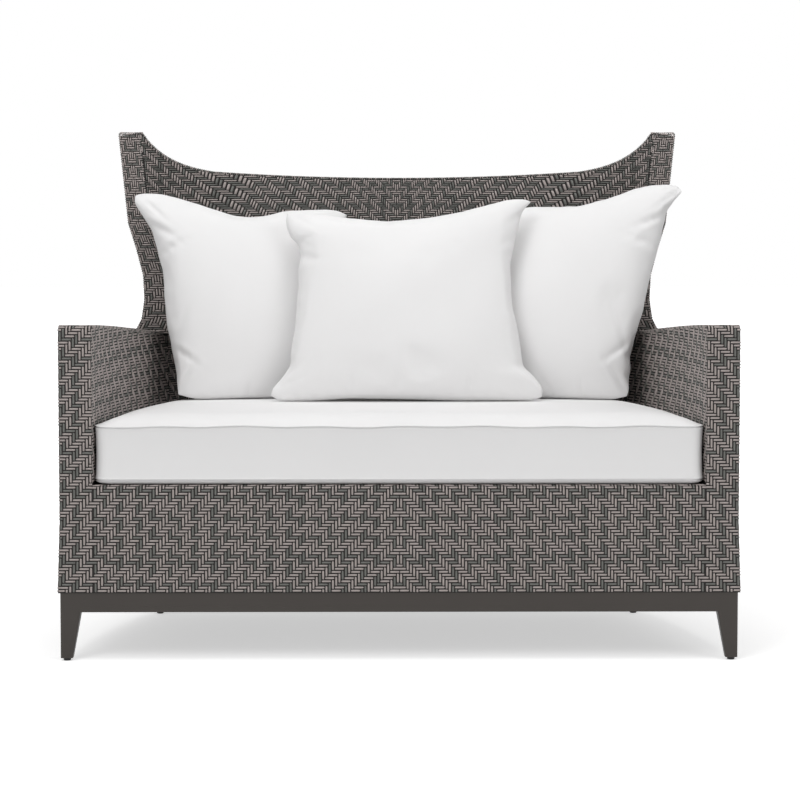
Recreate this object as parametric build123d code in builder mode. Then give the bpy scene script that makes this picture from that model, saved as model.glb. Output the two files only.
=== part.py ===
from build123d import *

import functools
import math
import os

# Two-seat wing loveseat: woven strand skins on a welded tube frame, a box seat cushion and three pillows.
# Millimetres, +Z up, front towards -Y. A depth is measured back from the arm fronts.

# Heights
glide_height = 6
base_rail_bottom = 104
base_rail_top = 145
seat_rail_top = 373
arm_front_height = 711
arm_middle_height = 694
wing_foot_height = 667
back_middle_height = 1032
back_shoulder_height = 1046
overall_height = 1135

# Plan of the woven wall
arm_half_width = 717
skirt_half_width = 722
arm_thickness = 69
wing_foot_depth = 612
side_turn = 15.5
back_depth_low = 765
back_depth_high = 858
back_inner_low = 668
back_inner_high = 800
back_bow_radius = 3000
outer_side_depth = 610
inner_side_depth = 560
inner_wing_side_depth = 600
arm_front_radius = 10
wing_tip_radius = 8
skirt_flare_height = 155

# The wing: shares of its rise from the arm to the tip, with its outer half width, its thickness
# and its turn in plan
wing_tip_half_width = 648
wing_tip_turn = 28
wing_tip_thickness = 49
wing_rise_shares = (0.0, 0.075, 0.17, 0.29, 0.42, 0.55, 1.0)
wing_width_shares = (0.949, 0.921, 0.911, 0.914, 0.938, 0.967, 1.0)
wing_thin_shares = (0.0, 0.14, 0.31, 0.53, 0.77, 1.0, 1.0)
wing_tip_flat = 9
wing_sweep_depths = (56, 137)
wing_sweep_drops = (43, 86)
wing_tail_slope = 0.4
wing_tip_tilt_run = 52
wing_tip_tilt_drop = 9

# Woven skin and frame tubes
skin = 4
tube_wall = 2
seat_gap = 0.3
arm_tube_size = 29
arm_tube_inset = 20
back_tube_size = 25
back_tube_inset = 10
back_post_offset = 230
lumbar_rail_height = 395
seat_rail_size = 30
seat_cross_bar_width = 25
seat_cross_bar_spacing = 320
front_panel_depth = 45
front_panel_draw = 2.5
front_edge_radius = 9
webbing_thickness = 2
webbing_strap = 62
webbing_gap = 38

# Base rails, legs and glides
base_rail_inset = 2
base_rail_width = 25
leg_top_size = 43
leg_foot_size = 26
leg_foot_radius = 5
glide_radius = 8
glide_stem_radius = 4
glide_stem_length = 18
leg_plug_thickness = 8
stem_clearance = 0.05
joint_gap = 0.05

# Seat cushion
cushion_gap = 6
cushion_front_depth = 6
cushion_front_radius = 22
cushion_back_depth = 658
cushion_bottom_seam = 384
cushion_top_seam = 495
cushion_top_crown = 13
cushion_crown_run = 95
cushion_bottom_run = 45
cushion_side_draw = 5
cushion_rise_shares = (0.0, 0.62, 1.0)
cushion_run_shares = (0.0, 0.3, 1.0)
cushion_zip_width = 12
cushion_zip_length = 900
cover_thickness = 2
zip_thickness = 1.6

# Pillows
pillow_half_width = 292
pillow_half_height = 232
pillow_half_thickness = 74
pillow_side_draw = 44
pillow_top_draw = 36
pillow_bottom_draw = 16
pillow_corner_radius = 14
pillow_lean = 14
pillow_zip_length = 280
pillow_zip_width = 8
pillow_level_shares = (0.0, 0.28, 0.6, 0.86, 1.0)
pillow_corner_shares = (1.0, 0.87, 0.72, 0.52, 0.3)
pillow_side_shares = (1.0, 0.97, 0.88, 0.7, 0.42)
pillow_round_shares = (1.0, 2.0, 4.0, 5.0, 5.0)
centre_pillow_x = 12
centre_pillow_depth = 478
centre_pillow_height = 731.5
side_pillow_depth = 586
side_pillow_height = 741.5
side_pillow_turn = 18
side_pillow_roll = 3
left_pillow_x = -316
right_pillow_x = 319

# One overrun serves every cut
overrun = 20

overall_depth = back_depth_high
front_y = -overall_depth / 2
wing_rise = overall_height - wing_foot_height


def wing_width(share):
    """Outer half width of the wing at a share of its rise."""
    return wing_tip_half_width * share


def back_outer(height):
    """Depth of the outer back on the centre line."""
    share = (height - base_rail_top) / (back_middle_height - base_rail_top)
    return back_depth_low + (back_depth_high - back_depth_low) * share


def back_inner(height):
    """Depth of the inner back on the centre line: upright below the seat, raked above it."""
    share = max(height - seat_rail_top, 0) / (back_middle_height - seat_rail_top)
    return back_inner_low + (back_inner_high - back_inner_low) * share


def plan_corner(side_x, side_depth, turn, back_depth):
    """Centre, radius and outward directions of the arc that joins the side to the bowed back."""
    angle = math.radians(turn)
    side_end = Vector(side_x, side_depth)
    normal = Vector(math.cos(angle), math.sin(angle))
    bow_centre = Vector(0, back_depth - back_bow_radius)
    reach = side_end - bow_centre
    radius = (back_bow_radius**2 - reach.length**2) / (2 * (back_bow_radius - reach.dot(normal)))
    centre = side_end - normal * radius
    outward = (centre - bow_centre).normalized()
    return centre, radius, normal, outward


def plan_outline(front_x, side_x, side_depth, turn, back_depth, front_depth=-overrun, front_radius=0):
    """Closed outline with a straight front, bowed sides, round rear corners and a bowed back."""
    centre, radius, normal, outward = plan_corner(side_x, side_depth, turn, back_depth)
    start = Vector(front_x - front_radius, front_depth)
    shoulder = Vector(front_x, front_depth + front_radius if front_radius else 0)
    side_end = Vector(side_x, side_depth)
    chord = side_end - shoulder
    half_turn = math.radians(turn) - math.atan2(-chord.X, chord.Y)
    sagitta = chord.length / 2 * math.tan(half_turn / 2)
    middle = shoulder + chord / 2 + Vector(chord.Y, -chord.X).normalized() * sagitta
    corner_end = centre + outward * radius
    corner_middle = centre + (normal + outward).normalized() * radius
    front_middle = shoulder - Vector(front_radius, 0) + Vector(front_radius, -front_radius) / math.sqrt(2)

    def place(point, side=1):
        return (point.X * side, point.Y + front_y)

    def front_corner(side):
        if front_radius:
            ThreePointArc(place(start, side), place(front_middle, side), place(shoulder, side))
        else:
            Line(place(start, side), place(shoulder, side))

    Line(place(start, -1), place(start))
    front_corner(1)
    ThreePointArc(place(shoulder), place(middle), place(side_end))
    ThreePointArc(place(side_end), place(corner_middle), place(corner_end))
    ThreePointArc(place(corner_end), (0, back_depth + front_y), place(corner_end, -1))
    ThreePointArc(place(corner_end, -1), place(corner_middle, -1), place(side_end, -1))
    ThreePointArc(place(side_end, -1), place(middle, -1), place(shoulder, -1))
    front_corner(-1)


def outer_levels():
    """Height, front half width, side half width and turn of each outer section, from the bottom up."""
    levels = [(base_rail_top, skirt_half_width, None, side_turn)]
    levels.append((base_rail_top + skirt_flare_height, arm_half_width, None, side_turn))
    for rise, width in zip(wing_rise_shares, wing_width_shares):
        turn = side_turn + (wing_tip_turn - side_turn) * rise
        levels.append((wing_foot_height + wing_rise * rise, arm_half_width, wing_width(width), turn))
    return levels


@functools.cache
def outer_solid(inset):
    """Everything inside the outer face of the woven wall, moved in by inset."""
    foot_width = wing_width(wing_width_shares[0])
    with BuildPart() as solid:
        for height, front_x, side_x, turn in outer_levels():
            level = height
            if height == base_rail_top:
                level = height - overrun if inset else height
            if side_x is None:
                side_x = foot_width + front_x - arm_half_width
            with BuildSketch(Plane.XY.offset(level)):
                with BuildLine():
                    plan_outline(front_x - inset, side_x - inset, outer_side_depth, turn,
                                 back_outer(height) - inset)
                make_face()
        loft(ruled=True)
    return solid.part


def band_reach(side_x, side_depth, turn, back_depth):
    """Half width of a plan where the wing's front face crosses its corner."""
    centre, radius, normal, outward = plan_corner(side_x, side_depth, turn, back_depth)
    return centre.X + math.sqrt(radius**2 - (wing_foot_depth - centre.Y) ** 2)


def inner_levels():
    """Height, side half width, side depth and turn of each inner section, from the bottom up."""
    # The side of the inner plan ends further forward than the outer one, along the same turn
    step = (outer_side_depth - inner_side_depth) * math.tan(math.radians(side_turn))
    foot_x = wing_width(wing_width_shares[0]) - arm_thickness + step
    foot_reach = band_reach(foot_x, inner_side_depth, side_turn, back_inner(wing_foot_height))
    foot_thickness = wing_width(wing_width_shares[0]) - foot_reach
    levels = [(height, foot_x, inner_side_depth, side_turn)
              for height in (base_rail_top - overrun, seat_rail_top)]
    for rise, width, thin in zip(wing_rise_shares, wing_width_shares, wing_thin_shares):
        height = wing_foot_height + wing_rise * rise
        turn = side_turn + (wing_tip_turn - side_turn) * rise
        side_depth = inner_side_depth + (inner_wing_side_depth - inner_side_depth) * thin
        reach = wing_width(width) - foot_thickness + (foot_thickness - wing_tip_thickness) * thin
        # A few rounds settle the side's place so that the wing's front band has its thickness
        side_x = reach
        for _ in wing_rise_shares:
            side_x += reach - band_reach(side_x, side_depth, turn, back_inner(height))
        levels.append((height, side_x, side_depth, turn))
    return levels


@functools.cache
def inner_solid(inset):
    """Everything inside the inner face of the woven wall, moved out into the wall by inset."""
    front_x = arm_half_width - arm_thickness
    with BuildPart() as solid:
        for height, side_x, side_depth, turn in inner_levels():
            with BuildSketch(Plane.XY.offset(height)):
                with BuildLine():
                    plan_outline(front_x + inset, side_x + inset, side_depth, turn,
                                 back_inner(height) + inset)
                make_face()
        loft(ruled=True)
    return solid.part


@functools.cache
def side_profile(inset, top_inset):
    """Side view of the woven wall, extruded right across the width."""
    start = inset + front_y
    wing = wing_foot_depth + inset + front_y
    top = overall_height - top_inset
    low = base_rail_top - (overrun if inset else 0)
    rear = back_depth_high + overrun + front_y
    sweep = [(wing + depth, top - drop) for depth, drop in zip(wing_sweep_depths, wing_sweep_drops)]
    tail = (rear, sweep[-1][1] - wing_tail_slope * (rear - sweep[-1][0]))
    with BuildPart() as profile:
        with BuildSketch(Plane.YZ):
            with BuildLine():
                Line((start, low), (start, arm_front_height - top_inset))
                ThreePointArc((start, arm_front_height - top_inset),
                              ((start + wing) / 2, arm_middle_height - top_inset),
                              (wing, wing_foot_height - top_inset))
                Line((wing, wing_foot_height - top_inset), (wing, top))
                Line((wing, top), (wing + wing_tip_flat, top))
                ThreePointArc((wing + wing_tip_flat, top), *sweep)
                Line(sweep[-1], tail)
                Line(tail, (rear, low))
                Line((rear, low), (start, low))
            make_face()
            if top_inset < wing_tip_radius:
                front_corner = vertices().group_by(Axis.X)[0].sort_by(Axis.Y)[-1]
                fillet(front_corner, arm_front_radius - top_inset)
                fillet(vertices().group_by(Axis.Y)[-1].sort_by(Axis.X)[0], wing_tip_radius - top_inset)
        extrude(amount=skirt_half_width + overrun, both=True)
        # The wing's top falls a little towards the outside
        with BuildSketch(Plane.XZ.offset(-front_y - back_depth_high - overrun)):
            for side in (-1, 1):
                with BuildLine():
                    inner_x = wing_tip_half_width - wing_tip_tilt_run
                    outer_x = wing_tip_half_width + wing_tip_tilt_run
                    Polyline((side * inner_x, top), (side * outer_x, top - 2 * wing_tip_tilt_drop),
                             (side * outer_x, top + overrun), (side * inner_x, top + overrun), close=True)
                make_face()
        extrude(amount=back_depth_high + 2 * overrun, mode=Mode.SUBTRACT)
        with BuildSketch(Plane.XZ.offset(-front_y - back_depth_high - overrun)):
            with BuildLine():
                half = wing_tip_half_width * 2 / 3
                crown = back_shoulder_height - top_inset
                ThreePointArc((-half, crown), (0, back_middle_height - top_inset), (half, crown))
                Line((half, crown), (skirt_half_width, crown))
                Line((skirt_half_width, crown), (skirt_half_width, low))
                Line((skirt_half_width, low), (-skirt_half_width, low))
                Line((-skirt_half_width, low), (-skirt_half_width, crown))
                Line((-skirt_half_width, crown), (-half, crown))
            make_face()
        extrude(amount=back_depth_high + overrun - wing_foot_depth - inset)
    return profile.part


def woven_wall(inset, top_inset):
    """The whole woven wall as one block: arms, wings and back, moved in by the insets."""
    with BuildPart() as wall:
        add(outer_solid(inset))
        add(inner_solid(inset), mode=Mode.SUBTRACT)
        add(side_profile(inset, top_inset), mode=Mode.INTERSECT)
    return wall.part


def block(width, depths, heights, x=0):
    """Box by its width across, its span of depths and its span of heights."""
    with BuildPart() as solid:
        with BuildSketch(Plane.XY.offset(heights[0])):
            with Locations((x, sum(depths) / 2 + front_y)):
                Rectangle(width, depths[1] - depths[0])
        extrude(amount=heights[1] - heights[0])
    return solid.part


def tube_band(inset, size, gap, wall):
    """Rim of the woven wall in side view, as wide as a tube that follows its outer face."""
    with BuildPart() as band:
        add(outer_solid(inset + wall))
        add(outer_solid(inset + size - wall), mode=Mode.SUBTRACT)
        add(side_profile(gap + wall, gap + wall), mode=Mode.INTERSECT)
        add(side_profile(gap + size - wall, gap + size - wall), mode=Mode.SUBTRACT)
    return band.part


def upright(inset, size, region, wall):
    """Post or rail that follows the outer face of the woven wall inside a region."""
    with BuildPart() as post:
        add(outer_solid(inset + wall))
        add(outer_solid(inset + size - wall), mode=Mode.SUBTRACT)
        add(region, mode=Mode.INTERSECT)
    return post.part


def one_side(part, side):
    """The half of a part on one side of the centre line."""
    with BuildPart() as half:
        add(part)
        split(bisect_by=Plane.YZ, keep=Keep.TOP if side > 0 else Keep.BOTTOM)
    return half.part


def save(part, label):
    """Label a finished piece and write it."""
    part.label = label
    export_step(part, f"parts/{label}.step")


os.makedirs("parts", exist_ok=True)
sides = {"left": -1, "right": 1}
full_width = 2 * (skirt_half_width + overrun)
rear_limit = overall_depth + overrun
seat_rail_bottom = seat_rail_top - webbing_thickness - seat_rail_size

# Woven skins: a hollow wall, open below, with its inner face ending at the seat rails
with BuildPart() as skirt_room:
    add(inner_solid(skin + seat_gap))
    add(block(full_width, (front_panel_depth, rear_limit), (0, seat_rail_bottom)), mode=Mode.INTERSECT)
with BuildPart() as hollow_wall:
    add(woven_wall(0, 0))
    add(woven_wall(skin, skin), mode=Mode.SUBTRACT)
    add(skirt_room.part, mode=Mode.SUBTRACT)

with BuildPart() as arm_weaves:
    add(hollow_wall.part)
    add(block(full_width, (-overrun, wing_foot_depth), (0, overall_height)), mode=Mode.INTERSECT)

with BuildPart() as back_weave:
    add(hollow_wall.part)
    add(block(full_width, (wing_foot_depth, rear_limit), (0, overall_height + overrun)), mode=Mode.INTERSECT)
save(back_weave.part, "back_weave")

for name, side in sides.items():
    with BuildPart() as arm_weave:
        add(one_side(arm_weaves.part, side))
    save(arm_weave.part, f"{name}_arm_weave")

# The front panel fills the room between the arms, whose inner faces draw in over its depth
panel_half_width = arm_half_width - arm_thickness
with BuildPart() as panel_room:
    with BuildSketch(Plane.XY.offset(base_rail_top)):
        with BuildLine():
            Polyline(
                (-panel_half_width, front_y),
                (panel_half_width, front_y),
                (panel_half_width - front_panel_draw, front_y + front_panel_depth),
                (front_panel_draw - panel_half_width, front_y + front_panel_depth),
                close=True,
            )
        make_face()
    extrude(amount=seat_rail_top - base_rail_top)

with BuildPart() as front_weave:
    with BuildSketch(Plane.YZ):
        with BuildLine():
            Polyline(
                (front_y, base_rail_top),
                (front_y, seat_rail_top),
                (front_y + front_panel_depth, seat_rail_top),
                (front_y + front_panel_depth, seat_rail_bottom),
                (front_y + front_panel_depth - skin, seat_rail_bottom),
                (front_y + front_panel_depth - skin, seat_rail_top - skin),
                (front_y + skin, seat_rail_top - skin),
                (front_y + skin, base_rail_top),
                close=True,
            )
        make_face()
    extrude(amount=arm_half_width, both=True)
    fillet(front_weave.edges().filter_by(Axis.X).group_by(Axis.Z)[-1].sort_by(Axis.Y)[0], front_edge_radius)
    add(panel_room.part, mode=Mode.INTERSECT)
save(front_weave.part, "front_weave")

# Frame tubes inside the skins. Each is hollow and follows the outer face of the wall.
tube_gap = skin + seat_gap
arm_region = block(full_width, (-overrun, wing_foot_depth - seat_gap), (base_rail_top, overall_height))
back_region = block(full_width, (wing_foot_depth, rear_limit), (0, overall_height + overrun))
with BuildPart() as arm_tubes:
    add(tube_band(arm_tube_inset, arm_tube_size, tube_gap, 0))
    add(tube_band(arm_tube_inset, arm_tube_size, tube_gap, tube_wall), mode=Mode.SUBTRACT)
    add(arm_region, mode=Mode.INTERSECT)
for name, side in sides.items():
    with BuildPart() as arm_tube:
        add(one_side(arm_tubes.part, side))
    save(arm_tube.part, f"{name}_arm_tube")

with BuildPart() as back_top_hoop:
    add(tube_band(back_tube_inset, back_tube_size, tube_gap, 0))
    add(tube_band(back_tube_inset, back_tube_size, tube_gap, tube_wall), mode=Mode.SUBTRACT)
    add(back_region, mode=Mode.INTERSECT)
save(back_top_hoop.part, "back_top_hoop")

# Posts under the hoop, from the base rails up
post_start = wing_foot_depth + tube_gap
wing_post_top = wing_foot_height - tube_gap - back_tube_size
wing_post_depths = (post_start, post_start + back_tube_size)
wing_core_depths = (post_start + tube_wall, post_start + back_tube_size - tube_wall)
wing_post_block = block(full_width, wing_post_depths, (base_rail_top, wing_post_top))
wing_core_block = block(full_width, wing_core_depths, (0, overall_height))
with BuildPart() as wing_posts:
    add(upright(back_tube_inset, back_tube_size, wing_post_block, 0))
    add(upright(back_tube_inset, back_tube_size, wing_core_block, tube_wall), mode=Mode.SUBTRACT)
for name, side in sides.items():
    with BuildPart() as wing_post:
        add(one_side(wing_posts.part, side))
    save(wing_post.part, f"{name}_wing_post")

back_post_depths = (wing_foot_depth, rear_limit)
hoop_underside = side_profile(tube_gap + back_tube_size, tube_gap + back_tube_size)
post_spans = {
    name: block(back_tube_size, back_post_depths, (base_rail_top, overall_height), side * back_post_offset)
    for name, side in sides.items()
}
for name, side in sides.items():
    post_core = block(back_tube_size - 2 * tube_wall, back_post_depths, (0, overall_height),
                      side * back_post_offset)
    with BuildPart() as back_post:
        add(upright(back_tube_inset, back_tube_size, post_spans[name], 0))
        add(upright(back_tube_inset, back_tube_size, post_core, tube_wall), mode=Mode.SUBTRACT)
        add(hoop_underside, mode=Mode.INTERSECT)
    save(back_post.part, f"{name}_back_post")

rail_depths = (post_start + back_tube_size, rear_limit)
rail_heights = (lumbar_rail_height, lumbar_rail_height + back_tube_size)
core_heights = (lumbar_rail_height + tube_wall, lumbar_rail_height + back_tube_size - tube_wall)
with BuildPart() as back_lumbar_rail:
    add(upright(back_tube_inset, back_tube_size, block(full_width, rail_depths, rail_heights), 0))
    add(upright(back_tube_inset, back_tube_size, block(full_width, rail_depths, core_heights), tube_wall),
        mode=Mode.SUBTRACT)
    for span in post_spans.values():
        add(span, mode=Mode.SUBTRACT)
save(back_lumbar_rail.part, "back_lumbar_rail")

# Seat rails: a ring inside the skins, carried by the front panel, with bars across it
rail_top = seat_rail_top - webbing_thickness
front_rail_top = seat_rail_top - skin - seat_gap
front_rail_depths = (tube_gap, tube_gap + seat_rail_size)
with BuildPart() as seat_front_rail:
    add(block(full_width, front_rail_depths, (front_rail_top - seat_rail_size, front_rail_top)))
    add(block(full_width, (tube_gap + tube_wall, tube_gap + seat_rail_size - tube_wall),
              (front_rail_top - seat_rail_size + tube_wall, front_rail_top - tube_wall)), mode=Mode.SUBTRACT)
    add(inner_solid(-seat_gap), mode=Mode.INTERSECT)
save(seat_front_rail.part, "seat_front_rail")

with BuildPart() as seat_ring_core:
    add(inner_solid(-seat_gap - tube_wall))
    add(inner_solid(-seat_gap - seat_rail_size + tube_wall), mode=Mode.SUBTRACT)
    add(block(full_width, (0, rear_limit), (seat_rail_bottom + tube_wall, rail_top - tube_wall)),
        mode=Mode.INTERSECT)
with BuildPart() as seat_ring:
    add(inner_solid(-seat_gap))
    add(inner_solid(-seat_gap - seat_rail_size), mode=Mode.SUBTRACT)
    add(block(full_width, (front_panel_depth, rear_limit), (seat_rail_bottom, rail_top)), mode=Mode.INTERSECT)
    add(seat_ring_core.part, mode=Mode.SUBTRACT)
with BuildPart() as seat_rear_rail:
    add(seat_ring.part)
    add(block(full_width, (inner_side_depth, rear_limit), (0, overall_height)), mode=Mode.INTERSECT)
save(seat_rear_rail.part, "seat_rear_rail")
for name, side in sides.items():
    with BuildPart() as seat_side_rail:
        add(one_side(seat_ring.part, side))
        add(block(full_width, (0, inner_side_depth), (0, overall_height)), mode=Mode.INTERSECT)
    save(seat_side_rail.part, f"seat_{name}_rail")

bar_heights = (seat_rail_bottom, rail_top)
bar_core_heights = (seat_rail_bottom + tube_wall, rail_top - tube_wall)
for name, place in {"left": -1, "centre": 0, "right": 1}.items():
    bar_x = place * seat_cross_bar_spacing
    with BuildPart() as seat_cross_bar:
        add(block(seat_cross_bar_width, (front_panel_depth, rear_limit), bar_heights, bar_x))
        add(block(seat_cross_bar_width - 2 * tube_wall, (0, rear_limit), bar_core_heights, bar_x),
            mode=Mode.SUBTRACT)
        add(inner_solid(-seat_gap - seat_rail_size), mode=Mode.INTERSECT)
    save(seat_cross_bar.part, f"seat_{name}_cross_bar")

# Strap lattice over the rails: one flat net
webbing_pitch = webbing_strap + webbing_gap
webbing_depth = back_inner_low - front_panel_depth
gap_columns = math.floor(2 * (arm_half_width - arm_thickness) / webbing_pitch) - 1
gap_rows = math.floor(webbing_depth / webbing_pitch)
with BuildPart() as webbing_gaps:
    with BuildSketch(Plane.XY.offset(rail_top)):
        with Locations((0, front_panel_depth + webbing_depth / 2 + front_y)):
            with GridLocations(webbing_pitch, webbing_pitch, gap_columns, gap_rows):
                Rectangle(webbing_gap, webbing_gap)
    extrude(amount=webbing_thickness)
    add(inner_solid(-seat_gap - seat_rail_size), mode=Mode.INTERSECT)
with BuildPart() as seat_webbing:
    add(inner_solid(-seat_gap - tube_wall))
    add(block(full_width, (front_panel_depth + seat_gap, rear_limit), (rail_top, seat_rail_top)),
        mode=Mode.INTERSECT)
    add(webbing_gaps.part, mode=Mode.SUBTRACT)
save(seat_webbing.part, "seat_webbing")

# Base rails: one ring under the skins, cut at the legs
rail_half_width = skirt_half_width - skin
rail_side_x = wing_width(wing_width_shares[0]) + rail_half_width - arm_half_width
leg_corner = rail_half_width - leg_top_size / 2
leg_centre, leg_reach, leg_normal, leg_outward = plan_corner(rail_side_x, outer_side_depth, side_turn,
                                                             back_depth_low - skin)
leg_direction = (leg_normal + leg_outward).normalized()
rear_leg_place = leg_centre + leg_direction * (leg_reach - leg_top_size / 2)


def base_ring(inset, heights):
    """Closed ring of base rail in plan, moved in by inset."""
    with BuildPart() as ring:
        for step, mode in ((inset, Mode.ADD), (base_rail_width - inset, Mode.SUBTRACT)):
            with BuildSketch(Plane.XY.offset(heights[0])):
                with BuildLine():
                    plan_outline(rail_half_width - step, rail_side_x - step, outer_side_depth, side_turn,
                                 back_depth_low - skin - step, base_rail_inset + step, leg_foot_radius)
                make_face()
            extrude(amount=heights[1] - heights[0], mode=mode)
    return ring.part


def leg_plane(name, side):
    """Plane at the floor under a leg, with local X pointing outwards."""
    if name == "front":
        place = Vector(side * leg_corner, base_rail_inset + leg_top_size / 2)
        direction = Vector(side, 0)
    else:
        place = Vector(side * rear_leg_place.X, rear_leg_place.Y)
        direction = Vector(side * leg_direction.X, leg_direction.Y)
    return Plane((place.X, place.Y + front_y, 0), x_dir=(direction.X, direction.Y, 0), z_dir=(0, 0, 1))


def leg_solid(plane, front_shift, wall, heights):
    """Tapered leg with an upright outer face, straight through the height of the base rails."""
    top = leg_top_size - 2 * wall
    foot = leg_foot_size - 2 * wall
    shift = (leg_top_size - leg_foot_size) / 2
    with BuildPart() as leg:
        with BuildSketch(plane.offset(heights[0])):
            with Locations((shift, shift * front_shift)):
                RectangleRounded(foot, foot, leg_foot_radius - wall)
        with BuildSketch(plane.offset(base_rail_bottom)):
            RectangleRounded(top, top, leg_foot_radius - wall)
        loft(ruled=True)
        with BuildSketch(plane.offset(base_rail_bottom)):
            RectangleRounded(top, top, leg_foot_radius - wall)
        extrude(amount=heights[1] - base_rail_bottom)
    return leg.part


leg_blocks = []
for name, side in [(name, side) for name in ("front", "rear") for side in (-1, 1)]:
    plane = leg_plane(name, side)
    front_shift = -side if name == "front" else 0
    label = f"{name}_{'left' if side < 0 else 'right'}"
    shift = (leg_top_size - leg_foot_size) / 2
    foot_place = plane.from_local_coords((shift, shift * front_shift, 0))
    foot_plane = Plane(foot_place, x_dir=plane.x_dir, z_dir=(0, 0, 1))
    with BuildPart() as leg:
        add(leg_solid(plane, front_shift, 0, (glide_height, base_rail_top)))
        add(leg_solid(plane, front_shift, tube_wall,
                      (glide_height + leg_plug_thickness, base_rail_top - tube_wall)), mode=Mode.SUBTRACT)
        with BuildSketch(foot_plane.offset(glide_height)):
            Circle(glide_stem_radius + stem_clearance)
        extrude(amount=leg_plug_thickness, mode=Mode.SUBTRACT)
    save(leg.part, f"{label}_leg")
    leg_blocks.append(leg_solid(plane, front_shift, -joint_gap, (glide_height, base_rail_top)))
    with BuildPart() as glide:
        with BuildSketch(foot_plane):
            Circle(glide_radius)
        extrude(amount=glide_height)
        chamfer(glide.edges().group_by(Axis.Z)[0], glide_height / 6)
        with BuildSketch(foot_plane.offset(glide_height)):
            Circle(glide_stem_radius)
        extrude(amount=glide_stem_length)
    save(glide.part, f"{label}_glide")

with BuildPart() as base_rails:
    add(base_ring(0, (base_rail_bottom, base_rail_top)))
    add(base_ring(tube_wall, (base_rail_bottom + tube_wall, base_rail_top - tube_wall)), mode=Mode.SUBTRACT)
    for leg_block in leg_blocks:
        add(leg_block, mode=Mode.SUBTRACT)
rail_ends = (("front", Axis.Y, 0), ("rear", Axis.Y, -1), ("left", Axis.X, 0), ("right", Axis.X, -1))
for label, axis, index in rail_ends:
    with BuildPart() as base_rail:
        add(base_rails.part.solids().sort_by(axis)[index])
    save(base_rail.part, f"base_{label}_rail")


def cushion_outline(inset):
    """Plan of the seat cushion: the inner plan of the arms, less a gap. Its corners keep their radius."""
    half_width = arm_half_width - arm_thickness - cushion_gap
    step = (outer_side_depth - inner_side_depth + inset) * math.tan(math.radians(side_turn))
    side_x = wing_width(wing_width_shares[0]) - arm_thickness + step - cushion_gap
    plan_outline(half_width - inset, side_x - inset, inner_side_depth - inset, side_turn,
                 cushion_back_depth - inset, cushion_front_depth + inset, cushion_front_radius)


def cushion_form(shrink):
    """Box cushion with drawn-in sides between its seams and a crown above and below."""
    middle = (cushion_bottom_seam + cushion_top_seam) / 2
    levels = [
        (seat_rail_top + seat_gap + shrink, cushion_bottom_run),
        (cushion_bottom_seam, 0),
        (middle - cushion_zip_width, cushion_side_draw),
        (middle + cushion_zip_width, cushion_side_draw),
    ]
    for rise, run in zip(cushion_rise_shares, cushion_run_shares):
        top = cushion_top_seam + (cushion_top_crown - shrink) * rise
        levels.append((top, cushion_crown_run * run))
    with BuildPart() as form:
        for height, run in levels:
            with BuildSketch(Plane.XY.offset(height)):
                with BuildLine():
                    cushion_outline(run + shrink)
                make_face()
        loft(ruled=True)
    return form.part


def soft_set(form, label):
    """Cover and core of a cushion: a sewn skin with a filling a hair smaller inside it."""
    with BuildPart() as cover:
        add(form(0))
        add(form(cover_thickness), mode=Mode.SUBTRACT)
    save(cover.part, f"{label}_cover")
    with BuildPart() as core:
        add(form(cover_thickness + seat_gap))
    save(core.part, f"{label}_core")


soft_set(cushion_form, "seat_cushion")
zip_middle = (cushion_bottom_seam + cushion_top_seam) / 2
zip_face = cushion_side_draw - seat_gap
with BuildPart() as seat_cushion_zip:
    for step, mode in ((zip_face - zip_thickness, Mode.ADD), (zip_face, Mode.SUBTRACT)):
        with BuildSketch(Plane.XY.offset(zip_middle - cushion_zip_width / 2)):
            with BuildLine():
                cushion_outline(step)
            make_face()
        extrude(amount=cushion_zip_width, mode=mode)
    add(block(cushion_zip_length, (inner_side_depth, rear_limit), (0, overall_height)), mode=Mode.INTERSECT)
save(seat_cushion_zip.part, "seat_cushion_zip")


def pillow_plane(x, depth, height, turn, roll):
    """Plane through the seam of a leaning pillow, facing forwards, with local Y up the pillow."""
    lean_angle, turn_angle, roll_angle = (math.radians(value) for value in (pillow_lean, turn, roll))
    facing = Vector(math.sin(turn_angle), -math.cos(turn_angle), 0)
    across = Vector(math.cos(turn_angle), math.sin(turn_angle), 0)
    normal = facing * math.cos(lean_angle) + Vector(0, 0, math.sin(lean_angle))
    upward = normal.cross(across)
    across = across * math.cos(roll_angle) + upward * math.sin(roll_angle)
    return Plane((x, depth + front_y, height), x_dir=across, z_dir=normal)


def pillow_outline(corner, side, shrink):
    """Four drawn-in or bowed sides at one level of the pillow."""
    half_width = (pillow_half_width - shrink) * corner
    half_height = (pillow_half_height - shrink) * corner
    across = (pillow_half_width - pillow_side_draw - shrink) * side
    top = (pillow_half_height - pillow_top_draw - shrink) * side
    bottom = (pillow_half_height - pillow_bottom_draw - shrink) * side
    ThreePointArc((-half_width, -half_height), (0, -bottom), (half_width, -half_height))
    ThreePointArc((half_width, -half_height), (across, 0), (half_width, half_height))
    ThreePointArc((half_width, half_height), (0, top), (-half_width, half_height))
    ThreePointArc((-half_width, half_height), (-across, 0), (-half_width, -half_height))


def pillow_form(plane, shrink):
    """Knife-edged pillow: outlines that shrink and round off towards each crown."""
    levels = list(zip(pillow_level_shares, pillow_corner_shares, pillow_side_shares, pillow_round_shares))
    with BuildPart() as form:
        for face in (1, -1):
            for level, corner, side, round_share in levels:
                with BuildSketch(plane.offset(face * level * (pillow_half_thickness - shrink))):
                    with BuildLine():
                        pillow_outline(corner, side, shrink)
                    make_face()
                    fillet(vertices(), pillow_corner_radius * round_share)
            loft(ruled=True)
    return form.part


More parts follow.
